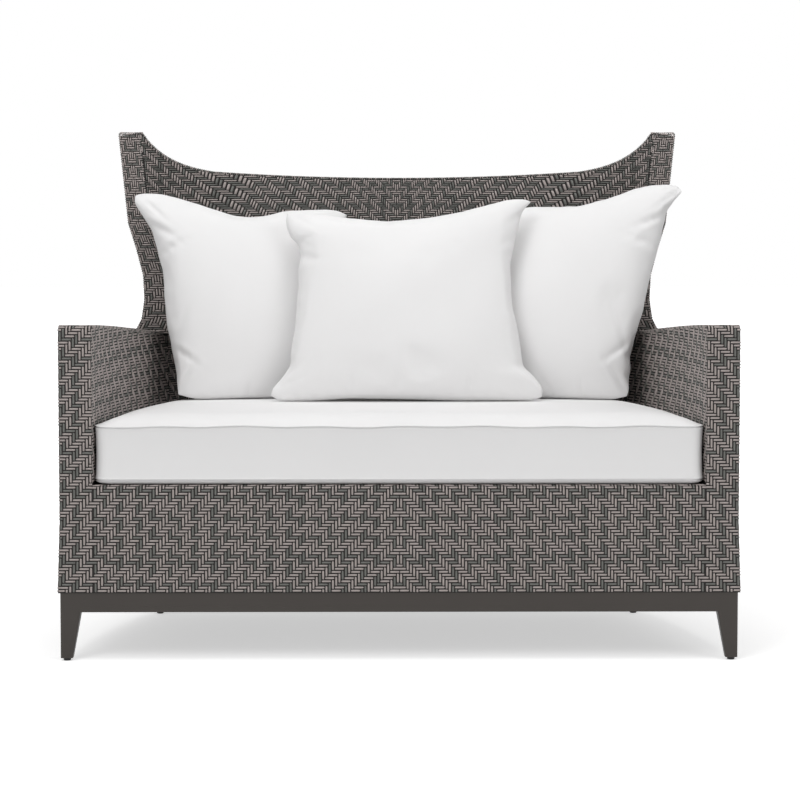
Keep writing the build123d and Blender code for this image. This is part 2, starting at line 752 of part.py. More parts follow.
def pillow_zip(plane):
    """Zip along the middle of the lower seam."""
    rise = pillow_bottom_draw
    bow = (pillow_half_width**2 + rise**2) / (2 * rise)
    half = pillow_zip_length / 2

    def bottom(x):
        return -(pillow_half_height - rise) - (bow - math.sqrt(bow**2 - x**2)) - seat_gap

    with BuildPart() as strip:
        with BuildSketch(plane.offset(-pillow_zip_width / 2)):
            with BuildLine():
                ThreePointArc((-half, bottom(half)), (0, bottom(0)), (half, bottom(half)))
                Line((half, bottom(half)), (half, bottom(half) - zip_thickness))
                ThreePointArc((half, bottom(half) - zip_thickness), (0, bottom(0) - zip_thickness),
                              (-half, bottom(half) - zip_thickness))
                Line((-half, bottom(half) - zip_thickness), (-half, bottom(half)))
            make_face()
        extrude(amount=pillow_zip_width)
    return strip.part


pillow_planes = {
    "centre": pillow_plane(centre_pillow_x, centre_pillow_depth, centre_pillow_height, 0, 0),
    "left": pillow_plane(left_pillow_x, side_pillow_depth, side_pillow_height,
                         side_pillow_turn, -side_pillow_roll),
    "right": pillow_plane(right_pillow_x, side_pillow_depth, side_pillow_height,
                          -side_pillow_turn, side_pillow_roll),
}
for name, plane in pillow_planes.items():
    soft_set(lambda shrink: pillow_form(plane, shrink), f"{name}_pillow")
    save(pillow_zip(plane), f"{name}_pillow_zip")
    print(name, "pillow leans along", plane.y_dir)
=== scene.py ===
"""Woven wing loveseat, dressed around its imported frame: every strand, cushion and finish."""
import math

import bpy
import numpy as np
from mathutils import Matrix, Vector


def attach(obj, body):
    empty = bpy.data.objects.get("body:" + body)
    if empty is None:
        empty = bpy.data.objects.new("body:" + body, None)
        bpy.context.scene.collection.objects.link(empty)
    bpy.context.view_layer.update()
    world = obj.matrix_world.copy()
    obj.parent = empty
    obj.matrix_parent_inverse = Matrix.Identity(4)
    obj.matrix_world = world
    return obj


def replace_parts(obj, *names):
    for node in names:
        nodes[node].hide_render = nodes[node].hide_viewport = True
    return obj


bl_info = {
    "name": "Woven loveseat",
    "version": (1, 0, 0),
    "blender": (4, 5, 0),
    "location": "3D View > Sidebar > Loveseat",
    "description": "Dresses the loveseat frame with woven strands, cushions, finishes and a stage",
    "category": "Object",
}

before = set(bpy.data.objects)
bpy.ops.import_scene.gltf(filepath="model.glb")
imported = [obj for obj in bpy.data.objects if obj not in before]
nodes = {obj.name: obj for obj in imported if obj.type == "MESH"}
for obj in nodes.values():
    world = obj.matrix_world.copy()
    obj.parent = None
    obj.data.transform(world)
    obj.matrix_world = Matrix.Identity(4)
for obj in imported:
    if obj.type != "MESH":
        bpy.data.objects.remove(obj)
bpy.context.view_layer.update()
MM = 0.001
BODY = "frame"
PANEL_TAB = "Loveseat"
SIDES = {"left": -1, "right": 1}

# The woven wall, as the CAD has it, in millimetres. Depth is measured back from the arm fronts.
WALL_BOTTOM, ARM_FRONT, ARM_MIDDLE, WING_FOOT = 145, 711, 694, 667
# Strands start just above the wall's foot, so the near-black weave skin shows there as a thin painted shadow line.
WEAVE_START = 146.4
BACK_MIDDLE, BACK_SHOULDER, TIP = 1032, 1046, 1135
RAIL_TOP, RAIL_RADIUS, RAIL_LIP = 373, 9, 40
ARM_HALF, SKIRT_HALF, ARM_THICK, FLARE = 717, 722, 69, 155
WING_DEPTH, TURN, BOW = 612, 15.5, 3000
OUTER_SIDE, INNER_SIDE = 610, 560
BACK_LOW, BACK_HIGH, INNER_LOW, INNER_HIGH = 765, 858, 668, 800
INNER_WING_SIDE = 600
TIP_HALF, TIP_TURN, TIP_THICK, TIP_FLAT, TIP_RADIUS = 648, 28, 49, 9, 8
TIP_TILT = (52, 9)
SWEEP = ((TIP_FLAT, 0), (56, 43), (137, 86))
TAIL_SLOPE = 0.4
ARM_RADIUS = 10
RISES = (0.0, 0.075, 0.17, 0.29, 0.42, 0.55, 1.0)
WIDTHS = (0.949, 0.921, 0.911, 0.914, 0.938, 0.967, 1.0)
THINS = (0.0, 0.14, 0.31, 0.53, 0.77, 1.0, 1.0)
FRONT_Y = -BACK_HIGH / 2
EDGE_STEPS = 48
ARM_INNER = ARM_HALF - ARM_THICK
FOOT_HALF = TIP_HALF * WIDTHS[0]
ARM_FLAT = ARM_FRONT - ARM_RADIUS
ARM_TURN_END = ARM_FLAT + ARM_RADIUS * math.pi / 2
BAND_WIDTH = 54.0
CROWN_SHARE = 2 / 3
INNER_DROP = 20
SAME_PLACE = 0.01
DEPTH_PASSES, TOP_PASSES = 6, 8
WING_STEPS, TIP_STEPS, TOP_STEPS = 60, 7, 260

# Columns on the inside of the back widen outwards: their width at distances from the centre line.
COLUMN_PLACES, COLUMN_WIDTHS = (75, 215, 440, 520), (5.8, 8.3, 8.0, 5.6)
COLUMN_PLACE = np.arange(0.0, 900.0, 1.0)
COLUMN_COUNT = np.concatenate(
    [[0], np.cumsum(1 / np.interp(COLUMN_PLACE[:-1] + 0.5, COLUMN_PLACES, COLUMN_WIDTHS))])

# How near the weaves come to an edge, how far they run on behind a neighbour and how far wraps reach down.
EDGE_GAP, RAIL_GAP = 3.0, 5
OUTER_MARGIN, ARM_MARGIN, INNER_MARGIN = 12, 20, 40
BRIDGE_REACH, FRONT_REACH, TOP_REACH, BAND_REACH = 1.6, 4.0, 5.0, 4.5
INNER_FIRST = 35
BAND_ROW_SHARE, BAND_COLUMNS = 1.08, 5


def length(label, about, value):
    return bpy.props.FloatProperty(name=label, description=about, default=value, unit="LENGTH")


def number(label, about, value):
    return bpy.props.FloatProperty(name=label, description=about, default=value)


def colour(label, about, value):
    return bpy.props.FloatVectorProperty(name=label, description=about, default=value, subtype="COLOR")


class WeaveSettings(bpy.types.PropertyGroup):
    row_pitch: length("Row pitch", "Height of one woven row", 0.00665)
    column_pitch: length("Column pitch", "Width of one woven column", 0.00687)
    back_pitch: length("Back pitch", "Height of one woven row on the inside of the back", 0.00504)
    strand_share: number("Strand width", "Strand width as a share of its pitch", 0.62)
    crown: length("Strand crown", "How far a strand stands proud", 0.0013)
    light_colour: colour("Light strand", "Colour of the taupe strands", (0.375, 0.328, 0.312))
    dark_colour: colour("Dark strand", "Colour of the grey strands", (0.133, 0.135, 0.124))
    # Near-black colour of the weave skin that shows between the strands: painted shade for the shadow in the gaps of
    # the weave.
    gap_shade_colour: colour("Gaps", "Colour between the strands", (0.011, 0.009, 0.008))


class CushionSettings(bpy.types.PropertyGroup):
    fabric_colour: colour("Canvas", "Colour of the cushion canvas", (0.87, 0.865, 0.865))
    pressure: number("Fill pressure", "Pressure that tensions the pillows", 0.6)
    slack: number("Slack", "Share by which the pillow cloth is longer than its fill", 0.02)
    reach: length("Reach", "Furthest that the cloth may move while it settles", 0.009)
    frames: bpy.props.IntProperty(
        name="Fill frames", description="Simulation steps for each pillow", default=14)


class FinishSettings(bpy.types.PropertyGroup):
    metal_colour: colour("Frame metal", "Colour of the powder coat", (0.05, 0.043, 0.038))
    glide_colour: colour("Glides", "Colour of the leg glides", (0.012, 0.012, 0.012))


class StageSettings(bpy.types.PropertyGroup):
    lens: number("Lens", "Focal length", 117.0)
    distance: length("Distance", "Camera distance before the arm fronts", 5.46)
    height: length("Height", "Camera height over the floor", 0.932)


def mix(low, high, share):
    return low + (high - low) * share


def running_length(points):
    """Length of a line up to each of its points."""
    return np.concatenate([[0], np.cumsum(np.linalg.norm(np.diff(points, axis=0), axis=1))])


def follow(at, run, line):
    """Points of a line at lengths along it."""
    return np.stack([np.interp(at, run, column) for column in line.T], -1)


def unit(vectors):
    return vectors / np.maximum(np.linalg.norm(vectors, axis=-1, keepdims=True), 1e-9)


def arc(start, middle, end, count):
    """Points on the circular arc through three points."""
    (ax, ay), (bx, by), (cx, cy) = start, middle, end
    d = 2 * (ax * (by - cy) + bx * (cy - ay) + cx * (ay - by))
    a2, b2, c2 = ax * ax + ay * ay, bx * bx + by * by, cx * cx + cy * cy
    ux = (a2 * (by - cy) + b2 * (cy - ay) + c2 * (ay - by)) / d
    uy = (a2 * (cx - bx) + b2 * (ax - cx) + c2 * (bx - ax)) / d
    a0, am, a1 = (math.atan2(p[1] - uy, p[0] - ux) for p in (start, middle, end))
    turn = (a1 - a0) % (2 * math.pi)
    if (am - a0) % (2 * math.pi) > turn:
        turn -= 2 * math.pi
    angles = a0 + turn * np.linspace(0, 1, count)
    r = math.hypot(ax - ux, ay - uy)
    return np.stack([ux + r * np.cos(angles), uy + r * np.sin(angles)], 1)


def plan_corner(side_x, side_depth, turn, back_depth):
    """Arc that joins a plan's side to its bowed back: centre, radius, its two normals, the bow's centre."""
    angle = math.radians(turn)
    normal = np.array([math.cos(angle), math.sin(angle)])
    side = np.array([side_x, side_depth], float)
    bow = np.array([0, back_depth - BOW], float)
    reach = side - bow
    radius = (BOW**2 - reach @ reach) / (2 * (BOW - reach @ normal))
    centre = side - normal * radius
    return centre, radius, normal, unit(centre - bow), bow


def half_plan(front_x, side_x, side_depth, turn, back_depth):
    """Right half of a wall's plan: bowed side, round corner, bowed back, to the centre line."""
    side = np.array([side_x, side_depth], float)
    centre, radius, normal, outward, bow = plan_corner(side_x, side_depth, turn, back_depth)
    shoulder = np.array([front_x, 0.0])
    chord = side - shoulder
    half_turn = math.radians(turn) - math.atan2(-chord[0], chord[1])
    middle = shoulder + chord / 2 + np.array([chord[1], -chord[0]]) / 2 * math.tan(half_turn / 2)
    corner_end = centre + outward * radius
    half_bow = math.atan2(corner_end[0], corner_end[1] - bow[1]) / 2
    back_middle = bow + BOW * np.array([math.sin(half_bow), math.cos(half_bow)])
    return np.concatenate([
        arc(shoulder, middle, side, EDGE_STEPS)[:-1],
        arc(side, centre + unit(normal + outward) * radius, corner_end, EDGE_STEPS)[:-1],
        arc(corner_end, back_middle, (0, back_depth), EDGE_STEPS),
    ])


class Wall:
    """One face of the wall: a point for each length along its plan and each height, in millimetres."""

    def __init__(self, levels):
        self.heights = np.array([level[0] for level in levels], float)
        self.plans = np.stack([half_plan(*level[1:]) for level in levels])
        self.run = running_length(self.plans[np.searchsorted(self.heights, WING_FOOT)])
        self.length = self.run[-1]

    def __call__(self, s, z):
        s, z = np.broadcast_arrays(np.asarray(s, float), np.asarray(z, float))
        past = np.maximum(s - self.length, 0)
        place = np.interp(s.clip(0, self.length), self.run, np.arange(len(self.run)))
        i = place.astype(int).clip(0, len(self.run) - 2)
        f = (place - i)[..., None]
        k = (np.searchsorted(self.heights, z, "right") - 1).clip(0, len(self.heights) - 2)
        g = ((z - self.heights[k]) / (self.heights[k + 1] - self.heights[k]))[..., None]
        low, high = (mix(self.plans[n, i], self.plans[n, i + 1], f) for n in (k, k + 1))
        flat = mix(low, high, g)
        return np.stack([flat[..., 0] - past, flat[..., 1] + FRONT_Y, z], -1)

    def at_depth(self, depth, z):
        """Length along the plan at which this face has a depth, on its side run."""
        s = np.full(np.shape(z), float(depth))
        for _ in range(DEPTH_PASSES):
            s = s + (depth - (self(s, z)[..., 1] - FRONT_Y))
        return s


def back_depth(z, low_z, low, high):
    return low + (high - low) * max(z - low_z, 0) / (BACK_MIDDLE - low_z)


def wing_levels():
    """Height, turn, half width and thinning of the wing at each of its levels."""
    for rise, width, thin in zip(RISES, WIDTHS, THINS):
        yield mix(WING_FOOT, TIP, rise), mix(TURN, TIP_TURN, rise), TIP_HALF * width, thin


def outer_levels():
    levels = [(WALL_BOTTOM, SKIRT_HALF, FOOT_HALF + SKIRT_HALF - ARM_HALF, TURN),
              (WALL_BOTTOM + FLARE, ARM_HALF, FOOT_HALF, TURN)]
    levels += [(z, ARM_HALF, half, turn) for z, turn, half, _ in wing_levels()]
    return [(z, front, side, OUTER_SIDE, turn, back_depth(z, WALL_BOTTOM, BACK_LOW, BACK_HIGH))
            for z, front, side, turn in levels]


def inner_levels():
    def depth_at(z):
        return back_depth(z, RAIL_TOP, INNER_LOW, INNER_HIGH)

    def band_reach(side_x, side_depth, turn, z):
        centre, radius = plan_corner(side_x, side_depth, turn, depth_at(z))[:2]
        return centre[0] + math.sqrt(radius**2 - (WING_DEPTH - centre[1]) ** 2)

    step = (OUTER_SIDE - INNER_SIDE) * math.tan(math.radians(TURN))
    foot = FOOT_HALF - ARM_THICK + step
    thick = FOOT_HALF - band_reach(foot, INNER_SIDE, TURN, WING_FOOT)
    levels = [(WALL_BOTTOM - INNER_DROP, foot, INNER_SIDE, TURN), (RAIL_TOP, foot, INNER_SIDE, TURN)]
    for z, turn, half, thin in wing_levels():
        depth = mix(INNER_SIDE, INNER_WING_SIDE, thin)
        reach = half - mix(thick, TIP_THICK, thin)
        side = reach
        for _ in RISES:
            side += reach - band_reach(side, depth, turn, z)
        levels.append((z, side, depth, turn))
    return [(z, ARM_INNER, side, depth, turn, depth_at(z)) for z, side, depth, turn in levels]


outer_face, inner_face = Wall(outer_levels()), Wall(inner_levels())
SWEEP_LINE = arc(*SWEEP, EDGE_STEPS)


def arc_height(across, half, middle, ends):
    """Height of a shallow arc that dips or rises by (ends - middle) over half its span."""
    rise = ends - middle
    radius = (half**2 + rise**2) / (2 * abs(rise))
    across = np.minimum(np.abs(across), half)
    return middle + np.sign(rise) * (radius - np.sqrt(radius**2 - across**2))


def top_height(point):
    """Height of the wall's top edge over a point in plan."""
    x, depth = point[..., 0], point[..., 1] - FRONT_Y
    across = depth - WING_DEPTH / 2
    tilt = (WING_FOOT - ARM_FRONT) / WING_DEPTH
    arm = arc_height(across, WING_DEPTH / 2, ARM_MIDDLE, (ARM_FRONT + WING_FOOT) / 2) + tilt * across
    past = depth - WING_DEPTH
    wing = np.interp(past, SWEEP_LINE[:, 0], TIP - SWEEP_LINE[:, 1])
    wing = np.minimum(wing, TIP - TIP_TILT[1] / TIP_TILT[0] * (np.abs(x) - TIP_HALF + TIP_TILT[0]))
    front = TIP_RADIUS - past.clip(0, TIP_RADIUS)
    wing = np.minimum(wing, TIP - TIP_RADIUS + np.sqrt(TIP_RADIUS**2 - front**2))
    wing = wing - TAIL_SLOPE * np.maximum(past - SWEEP[-1][0], 0)
    back = np.maximum(wing, arc_height(x, TIP_HALF * CROWN_SHARE, BACK_MIDDLE, BACK_SHOULDER))
    return np.where(past < -SAME_PLACE, arm, back)


def top_edge(face, s):
    """Point of a face on the wall's top edge."""
    wing = face(s, TIP)[..., 1] - FRONT_Y >= WING_DEPTH
    z = np.where(wing, float(BACK_SHOULDER), float(ARM_MIDDLE))
    for _ in range(TOP_PASSES):
        z = top_height(face(s, z))
    return face(s, z)


# Profiles of one strand: places along or across it, its height there and its width.
ALONG = np.array([-1.0, -0.78, 0.0, 0.78, 1.0])
ALONG_HEIGHT = np.array([-0.15, 0.8, 1.0, 0.8, -0.15])
ALONG_WIDTH = np.array([0.78, 0.97, 1.0, 0.97, 0.78])
CROSS = np.array([-1.0, -0.62, 0.0, 0.62, 1.0])
CROSS_HEIGHT = np.array([-0.15, 0.72, 1.0, 0.72, -0.15])
WRAP = np.array([-1.0, -0.75, -0.3, 0.0, 0.3, 0.75, 1.0])
WRAP_HEIGHT = np.array([-0.1, 0.8, 1.0, 1.0, 1.0, 0.8, -0.1])
WRAP_WIDTH = np.array([0.75, 0.95, 1.0, 1.0, 1.0, 0.95, 0.75])
LIGHT, DARK = 0, 1
TWILL_REPEAT = 6
OVER = TWILL_REPEAT // 2
SHORTEST_FLOAT = 0.3
FLOAT_LENGTH = 0.955
PROBES = np.linspace(0, 1, 13)
NORMAL_STEP = 0.6
COLUMN_RHYTHM = "LDLLLLDDLLDDLLLLDDLLLDL"
ROW_RHYTHM = "LLDLLLLLLDLDLLLLLDLLL"
BACK_COLUMNS = "LLDLLLDLLLLLDDLLDLL"
BACK_ROWS = "LDDLLDLDDLDLLDDDL"


def grid_faces(grid):
    return np.stack([grid[:-1, :-1], grid[1:, :-1], grid[1:, 1:], grid[:-1, 1:]], -1).reshape(-1, 4)


def outward_first(points, normal):
    """Turns each grid of points so that its faces look along its normal."""
    along = points[:, 2] - points[:, 1]
    across = points[:, :, 3] - points[:, :, 1]
    look = (np.cross(along[:, 2], across[:, 2]) * normal).sum(-1) < 0
    points[look] = points[look][:, :, ::-1]
    return points


def face_normal(surface, s, t, sign):
    """Outward unit normal of a surface at its parameters."""
    ds = surface(s + NORMAL_STEP, t) - surface(s - NORMAL_STEP, t)
    dt = surface(s, t + NORMAL_STEP) - surface(s, t - NORMAL_STEP)
    return unit(np.cross(ds, dt) * sign)


def strand_tones(index, rhythm):
    """Dark or light for each strand, by its number, in a fixed uneven rhythm."""
    tones = np.array([DARK if letter == "D" else LIGHT for letter in rhythm])
    return tones[np.asarray(index).astype(int) % len(tones)]


def crosses(i, j, slant):
    """Place of a cell in its twill repeat: the strand across lies on top in the first half."""
    return (i - slant * j) % TWILL_REPEAT


class Strands:
    """Woven strands on one half of a wall, gathered into one mesh."""

    def __init__(self, weave):
        self.share, self.crown = weave.strand_share, weave.crown / MM
        self.points, self.faces, self.tones = [], [], []
        self.total = 0

    def add(self, points, tones):
        count, rows, columns = points.shape[:3]
        face = grid_faces(np.arange(rows * columns).reshape(rows, columns))
        starts = np.arange(count)[:, None, None] * rows * columns
        self.points.append(points.reshape(-1, 3))
        self.faces.append((starts + face).reshape(-1, 4) + self.total)
        self.tones.append(np.repeat(tones, len(face)))
        self.total += count * rows * columns

    def lift(self, height):
        """How far a strand's cross-section stands off where its middle has a share of the crown."""
        height = np.asarray(height)[..., None]
        return (height * np.maximum(CROSS_HEIGHT, 0) + np.minimum(CROSS_HEIGHT, 0)) * self.crown

    def twill(self, surface, sign, spans, pitch, first=(0, 0), slant=1, inside=None,
              rhythms=(COLUMN_RHYTHM, ROW_RHYTHM), seams=(False, False)):
        """Over-three, under-three twill on a surface: floats across and floats up, clipped to a region.
        A float cut at a seam keeps its full height there, to run on into its neighbour."""
        columns = np.arange(-2, round((spans[0][1] - spans[0][0]) / pitch[0])) + first[0]
        rows = np.arange(-2, math.ceil((spans[1][1] - spans[1][0]) / pitch[1])) + first[1]
        cells = np.meshgrid(columns, rows, indexing="ij")
        step = crosses(*cells, slant)
        half = TWILL_REPEAT / 4
        for way, begin in enumerate((0, TWILL_REPEAT - 1 if slant > 0 else OVER)):
            other, order = 1 - way, slice(None, None, -1 if way else 1)
            number = [cell[step == begin] for cell in cells]
            tone = strand_tones(number[other], rhythms[other])
            along = spans[way][0] + (number[way] + half - first[way]) * pitch[way]
            beside = spans[other][0] + (number[other] + 0.5 - first[other]) * pitch[other]
            reach = pitch[way] * half * FLOAT_LENGTH
            width = pitch[other] * self.share / 2
            low = np.maximum(-1, (spans[way][0] - along) / reach)
            high = np.minimum(1, (spans[way][1] - along) / reach)
            good = (beside > spans[other][0]) & (beside < spans[other][1]) & (high - low > SHORTEST_FLOAT)
            along, beside, tone, low, high = (v[good] for v in (along, beside, tone, low, high))
            if inside is not None:
                probe = mix(low[:, None], high[:, None], PROBES)
                keep = inside(*(along[:, None] + reach * probe, beside[:, None] + probe * 0)[order])
                each = np.arange(len(along))
                low, high = probe[each, keep.argmax(1)], probe[each, -1 - keep[:, ::-1].argmax(1)]
                good = keep.any(1) & (high - low > SHORTEST_FLOAT)
                along, beside, tone, low, high = (v[good] for v in (along, beside, tone, low, high))
            middle, span = (low + high) / 2, (high - low) / 2
            x = (middle[:, None] + span[:, None] * ALONG) * reach
            tall, wide = (np.tile(profile, (len(x), 1)) for profile in (ALONG_HEIGHT, ALONG_WIDTH))
            if not way:
                for seam, ends, cut, edge in zip(seams, (slice(0, 2), slice(3, 5)), (low, high), spans[0]):
                    run_on = seam & (np.abs(along + cut * reach - edge) < SAME_PLACE)
                    tall[run_on, ends] = wide[run_on, ends] = 1
            line, side = np.broadcast_arrays(along[:, None] + x, beside[:, None])
            normal = face_normal(surface, *(line, side)[order], sign)
            edges = side[..., None] + width * wide[..., None] * CROSS
            points = surface(*(line[..., None], edges)[order]) + normal[..., None, :] * self.lift(tall)[..., None]
            self.add(outward_first(points, normal[:, 2]), tone)

    def wraps(self, face_a, face_b, numbers, start, pitch, length, rhythm=ROW_RHYTHM, bridge=False):
        """Short strands over an edge. Each face gives a point for a place along the edge and a distance.
        A bridge joins two floats that reach the edge, so its ends stay high."""
        places = start + (numbers + 0.5) * pitch

        def normal_of(face, other):
            along = face(places + 0.5, 0.5) - face(places - 0.5, 0.5)
            away, beyond = (f(places, 1.0) - f(places, 0.2) for f in (face, other))
            n = np.cross(along, away)
            return unit(n * -np.sign((n * beyond).sum(-1, keepdims=True)))

        normal_a, normal_b = normal_of(face_a, face_b), normal_of(face_b, face_a)
        miter = (normal_a + normal_b) / (1 + (normal_a * normal_b).sum(-1, keepdims=True))
        flat = np.ones(len(WRAP))
        rows = []
        for w, height, wide in zip(WRAP, *((flat, flat) if bridge else (WRAP_HEIGHT, WRAP_WIDTH))):
            face, normal = (face_a, normal_a) if w < 0 else (face_b, normal_b if w else miter)
            base = face(places[:, None] + pitch * self.share / 2 * wide * CROSS, abs(w) * length)
            rows.append(base + normal[:, None, :] * self.lift(height)[None, :, None])
        self.add(outward_first(np.stack(rows, 1), normal_a), strand_tones(numbers, rhythm))

    def build(self, name, side):
        points, faces = np.concatenate(self.points) * MM, np.concatenate(self.faces)
        if side < 0:
            points, faces = points * [-1, 1, 1], faces[:, ::-1]
        mesh = bpy.data.meshes.new(name)
        mesh.vertices.add(len(points))
        mesh.vertices.foreach_set("co", points.astype(np.float32).ravel())
        mesh.loops.add(faces.size)
        mesh.loops.foreach_set("vertex_index", faces.astype(np.int32).ravel())
        mesh.polygons.add(len(faces))
        mesh.polygons.foreach_set("loop_start", np.arange(0, faces.size, 4, dtype=np.int32))
        mesh.polygons.foreach_set("material_index", np.concatenate(self.tones).astype(np.int32))
        mesh.polygons.foreach_set("use_smooth", np.ones(len(faces), bool))
        mesh.update(calc_edges=True)
        mesh.validate()
        for tone in ("light_strand", "dark_strand"):
            mesh.materials.append(materials[tone])
        piece = add_object(name, mesh)
        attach(piece, BODY)


def add_object(name, data):
    item = bpy.data.objects.new(name, data)
    bpy.context.scene.collection.objects.link(item)
    return item


def build_sides(pieces):
    """Makes the left and the right piece of each set of strands."""
    for side, sign in SIDES.items():
        for name, strands in pieces.items():
            strands.build(name.format(side), sign)


def cell_size(weave):
    return weave.column_pitch / MM, weave.row_pitch / MM


def rail_surface(s, t):
    """Front rail: up its face, over its rounded edge and back along its lip."""
    s, t = np.broadcast_arrays(np.asarray(s, float), np.asarray(t, float))
    flat = RAIL_TOP - RAIL_RADIUS
    turn = ((t - flat) / RAIL_RADIUS).clip(0, math.pi / 2)
    past = np.maximum(t - flat - RAIL_RADIUS * math.pi / 2, 0)
    z = np.minimum(t, flat) + RAIL_RADIUS * np.sin(turn)
    return np.stack([s, RAIL_RADIUS * (1 - np.cos(turn)) + past + FRONT_Y, z], -1)


def arm_strip(s, t):
    """Arm front and top: s runs from the inner edge to the outer edge, t up the front and then back."""
    s, t = np.broadcast_arrays(np.asarray(s, float), np.asarray(t, float))
    share = (s - ARM_INNER) / ARM_THICK
    turn = ((t - ARM_FLAT) / ARM_RADIUS).clip(0, math.pi / 2)
    depth = ARM_RADIUS * (1 - np.cos(turn)) + np.maximum(t - ARM_TURN_END, 0)
    low = np.maximum(np.minimum(t, ARM_FLAT), WALL_BOTTOM)
    flat = mix(inner_face(depth, low), outer_face(depth, low), share[..., None])
    z = np.where(t < ARM_FLAT, t, top_height(flat) - ARM_RADIUS * (1 - np.sin(turn)))
    return np.stack([flat[..., 0], depth + FRONT_Y, z], -1)


def band_edges():
    """Inner and outer edge of the wing band and the back's top edge, as one long ribbon."""
    z = np.linspace(WING_FOOT, TIP - TIP_RADIUS, WING_STEPS)
    turn = np.linspace(0, math.pi / 2, TIP_STEPS)[1:]
    pairs = []
    for face in (inner_face, outer_face):
        start = face.at_depth(WING_DEPTH, TIP)
        tip = face(start + TIP_RADIUS * (1 - np.cos(turn)), TIP - TIP_RADIUS * (1 - np.sin(turn)))
        rest = np.linspace(0, 1, TOP_STEPS)[1:] * (face.length - start - TIP_RADIUS) + start + TIP_RADIUS
        pairs.append(np.concatenate([face(face.at_depth(WING_DEPTH, z), z), tip, top_edge(face, rest)]))
    return running_length(sum(pairs) / 2), *pairs


BAND_RUN, BAND_INNER, BAND_OUTER = band_edges()


def band(s, t):
    """Wing band and top edge: s from 0 at the inner edge to the band's width, t along it from the arm."""
    s, t = np.broadcast_arrays(np.asarray(s, float), np.asarray(t, float))
    inner, outer = (follow(t, BAND_RUN, line) for line in (BAND_INNER, BAND_OUTER))
    point = mix(inner, outer, (s / BAND_WIDTH)[..., None])
    point[..., 0] -= np.maximum(t - BAND_RUN[-1], 0)
    return point


def band_side(outside):
    """The band and the wall face beside it: each gives a point for a place along and a distance."""
    line = BAND_OUTER if outside else BAND_INNER
    down = unit(np.cross(np.gradient(line, BAND_RUN, axis=0), BAND_OUTER - BAND_INNER))
    down = down * np.where((down * (0, 1, -1)).sum(1, keepdims=True) < 0, -1, 1)

    def on_band(e, d):
        return band(BAND_WIDTH - d if outside else d, e)

    def on_wall(e, d):
        return follow(e, BAND_RUN, line) + follow(e, BAND_RUN, down) * d

    return on_band, on_wall


def back_inside(u, z):
    """Inside of the back by height and column number, which counts down to none at the centre line."""
    return inner_face(inner_face.length - np.interp(-np.asarray(u, float), COLUMN_COUNT, COLUMN_PLACE), z)


materials, groups = {}, {}


def feed(tree, socket, value):
    """Gives a socket its value or the output that drives it."""
    if isinstance(value, bpy.types.NodeSocket):
        tree.links.new(value, socket)
    else:
        socket.default_value = value


def add_node(tree, kind, inputs=None, **settings):
    """Shader node with its settings and the values or outputs that its inputs take."""
    node = tree.nodes.new("ShaderNode" + kind)
    for name, value in settings.items():
        setattr(node, name, value)
    for key, value in (inputs or {}).items():
        feed(tree, node.inputs[key], value)
    return node


def new_group(name, inputs, output):
    """Empty shader node group, what comes into it and the sockets that leave it."""
    group = bpy.data.node_groups.new(name, "ShaderNodeTree")
    for label, kind, value in inputs:
        socket = group.interface.new_socket(label, in_out="INPUT", socket_type="NodeSocket" + kind)
        socket.default_value = value
    group.interface.new_socket(output[0], in_out="OUTPUT", socket_type="NodeSocket" + output[1])
    return group, group.nodes.new("NodeGroupInput").outputs, group.nodes.new("NodeGroupOutput").inputs


def tone_group():
    """Slow drift of a colour's brightness over the surface."""
    group, given, leave = new_group("tone_drift", (
        ("Color", "Color", (0.5, 0.5, 0.5, 1)), ("Scale", "Float", 8.0), ("Amount", "Float", 0.1)), ("Color", "Color"))
    coord = add_node(group, "TexCoord")
    noise = add_node(group, "TexNoise", {"Detail": 3, "Vector": coord.outputs["Object"], "Scale": given["Scale"]})
    centre = add_node(group, "Math", {0: noise.outputs["Fac"], 1: 0.5}, operation="SUBTRACT")
    grow = add_node(group, "Math", {0: centre.outputs[0], 1: given["Amount"], 2: 1}, operation="MULTIPLY_ADD")
    scale = add_node(group, "VectorMath", {0: given["Color"], "Scale": grow.outputs[0]}, operation="SCALE")
    feed(group, leave["Color"], scale.outputs[0])
    return group


def grain_group():
    """Fine even grain, as a height."""
    group, given, leave = new_group(
        "fine_grain", (("Scale", "Float", 400.0), ("Stretch", "Vector", (1, 1, 1))), ("Height", "Float"))
    coord = add_node(group, "TexCoord")
    stretch = add_node(group, "VectorMath", {0: coord.outputs["Object"], 1: given["Stretch"]}, operation="MULTIPLY")
    noise = add_node(group, "TexNoise", {"Detail": 2, "Vector": stretch.outputs[0], "Scale": given["Scale"]})
    feed(group, leave["Height"], noise.outputs["Fac"])
    return group


def weave_group():
    """Plain canvas weave from two crossed rows of threads, as a height."""
    group, given, leave = new_group("canvas_threads", (("Scale", "Float", 300.0),), ("Height", "Float"))
    coord = add_node(group, "TexCoord")
    threads = [add_node(group, "TexWave", {"Distortion": 1.2, "Detail": 1, "Vector": coord.outputs["Object"],
                                           "Scale": given["Scale"]}, wave_type="BANDS", bands_direction=way)
               for way in ("X", "Z")]
    top = add_node(group, "Math", {k: wave.outputs["Fac"] for k, wave in enumerate(threads)}, operation="MAXIMUM")
    feed(group, leave["Height"], top.outputs[0])
    return group


def surface_material(name, colour, roughness, drift, height, bump=0.1, bump_depth=0.0003, **shine):
    """Principled finish with a drifting colour and a bumped surface."""
    material = bpy.data.materials.new(name)
    material.use_nodes = True
    tree = material.node_tree
    tone = add_node(tree, "Group", {"Color": (*colour, 1), "Scale": drift[0], "Amount": drift[1]},
                    node_tree=groups["tone"])
    kind, *look = height
    grain = add_node(tree, "Group", dict(zip(("Scale", "Stretch"), look)), node_tree=groups[kind])
    relief = add_node(tree, "Bump", {"Strength": bump, "Distance": bump_depth, "Height": grain.outputs["Height"]})
    shader = tree.nodes["Principled BSDF"]
    for key, value in {"Roughness": roughness, "Base Color": tone.outputs["Color"],
                       "Normal": relief.outputs["Normal"], **shine}.items():
        feed(tree, shader.inputs[key], value)
    materials[name] = material
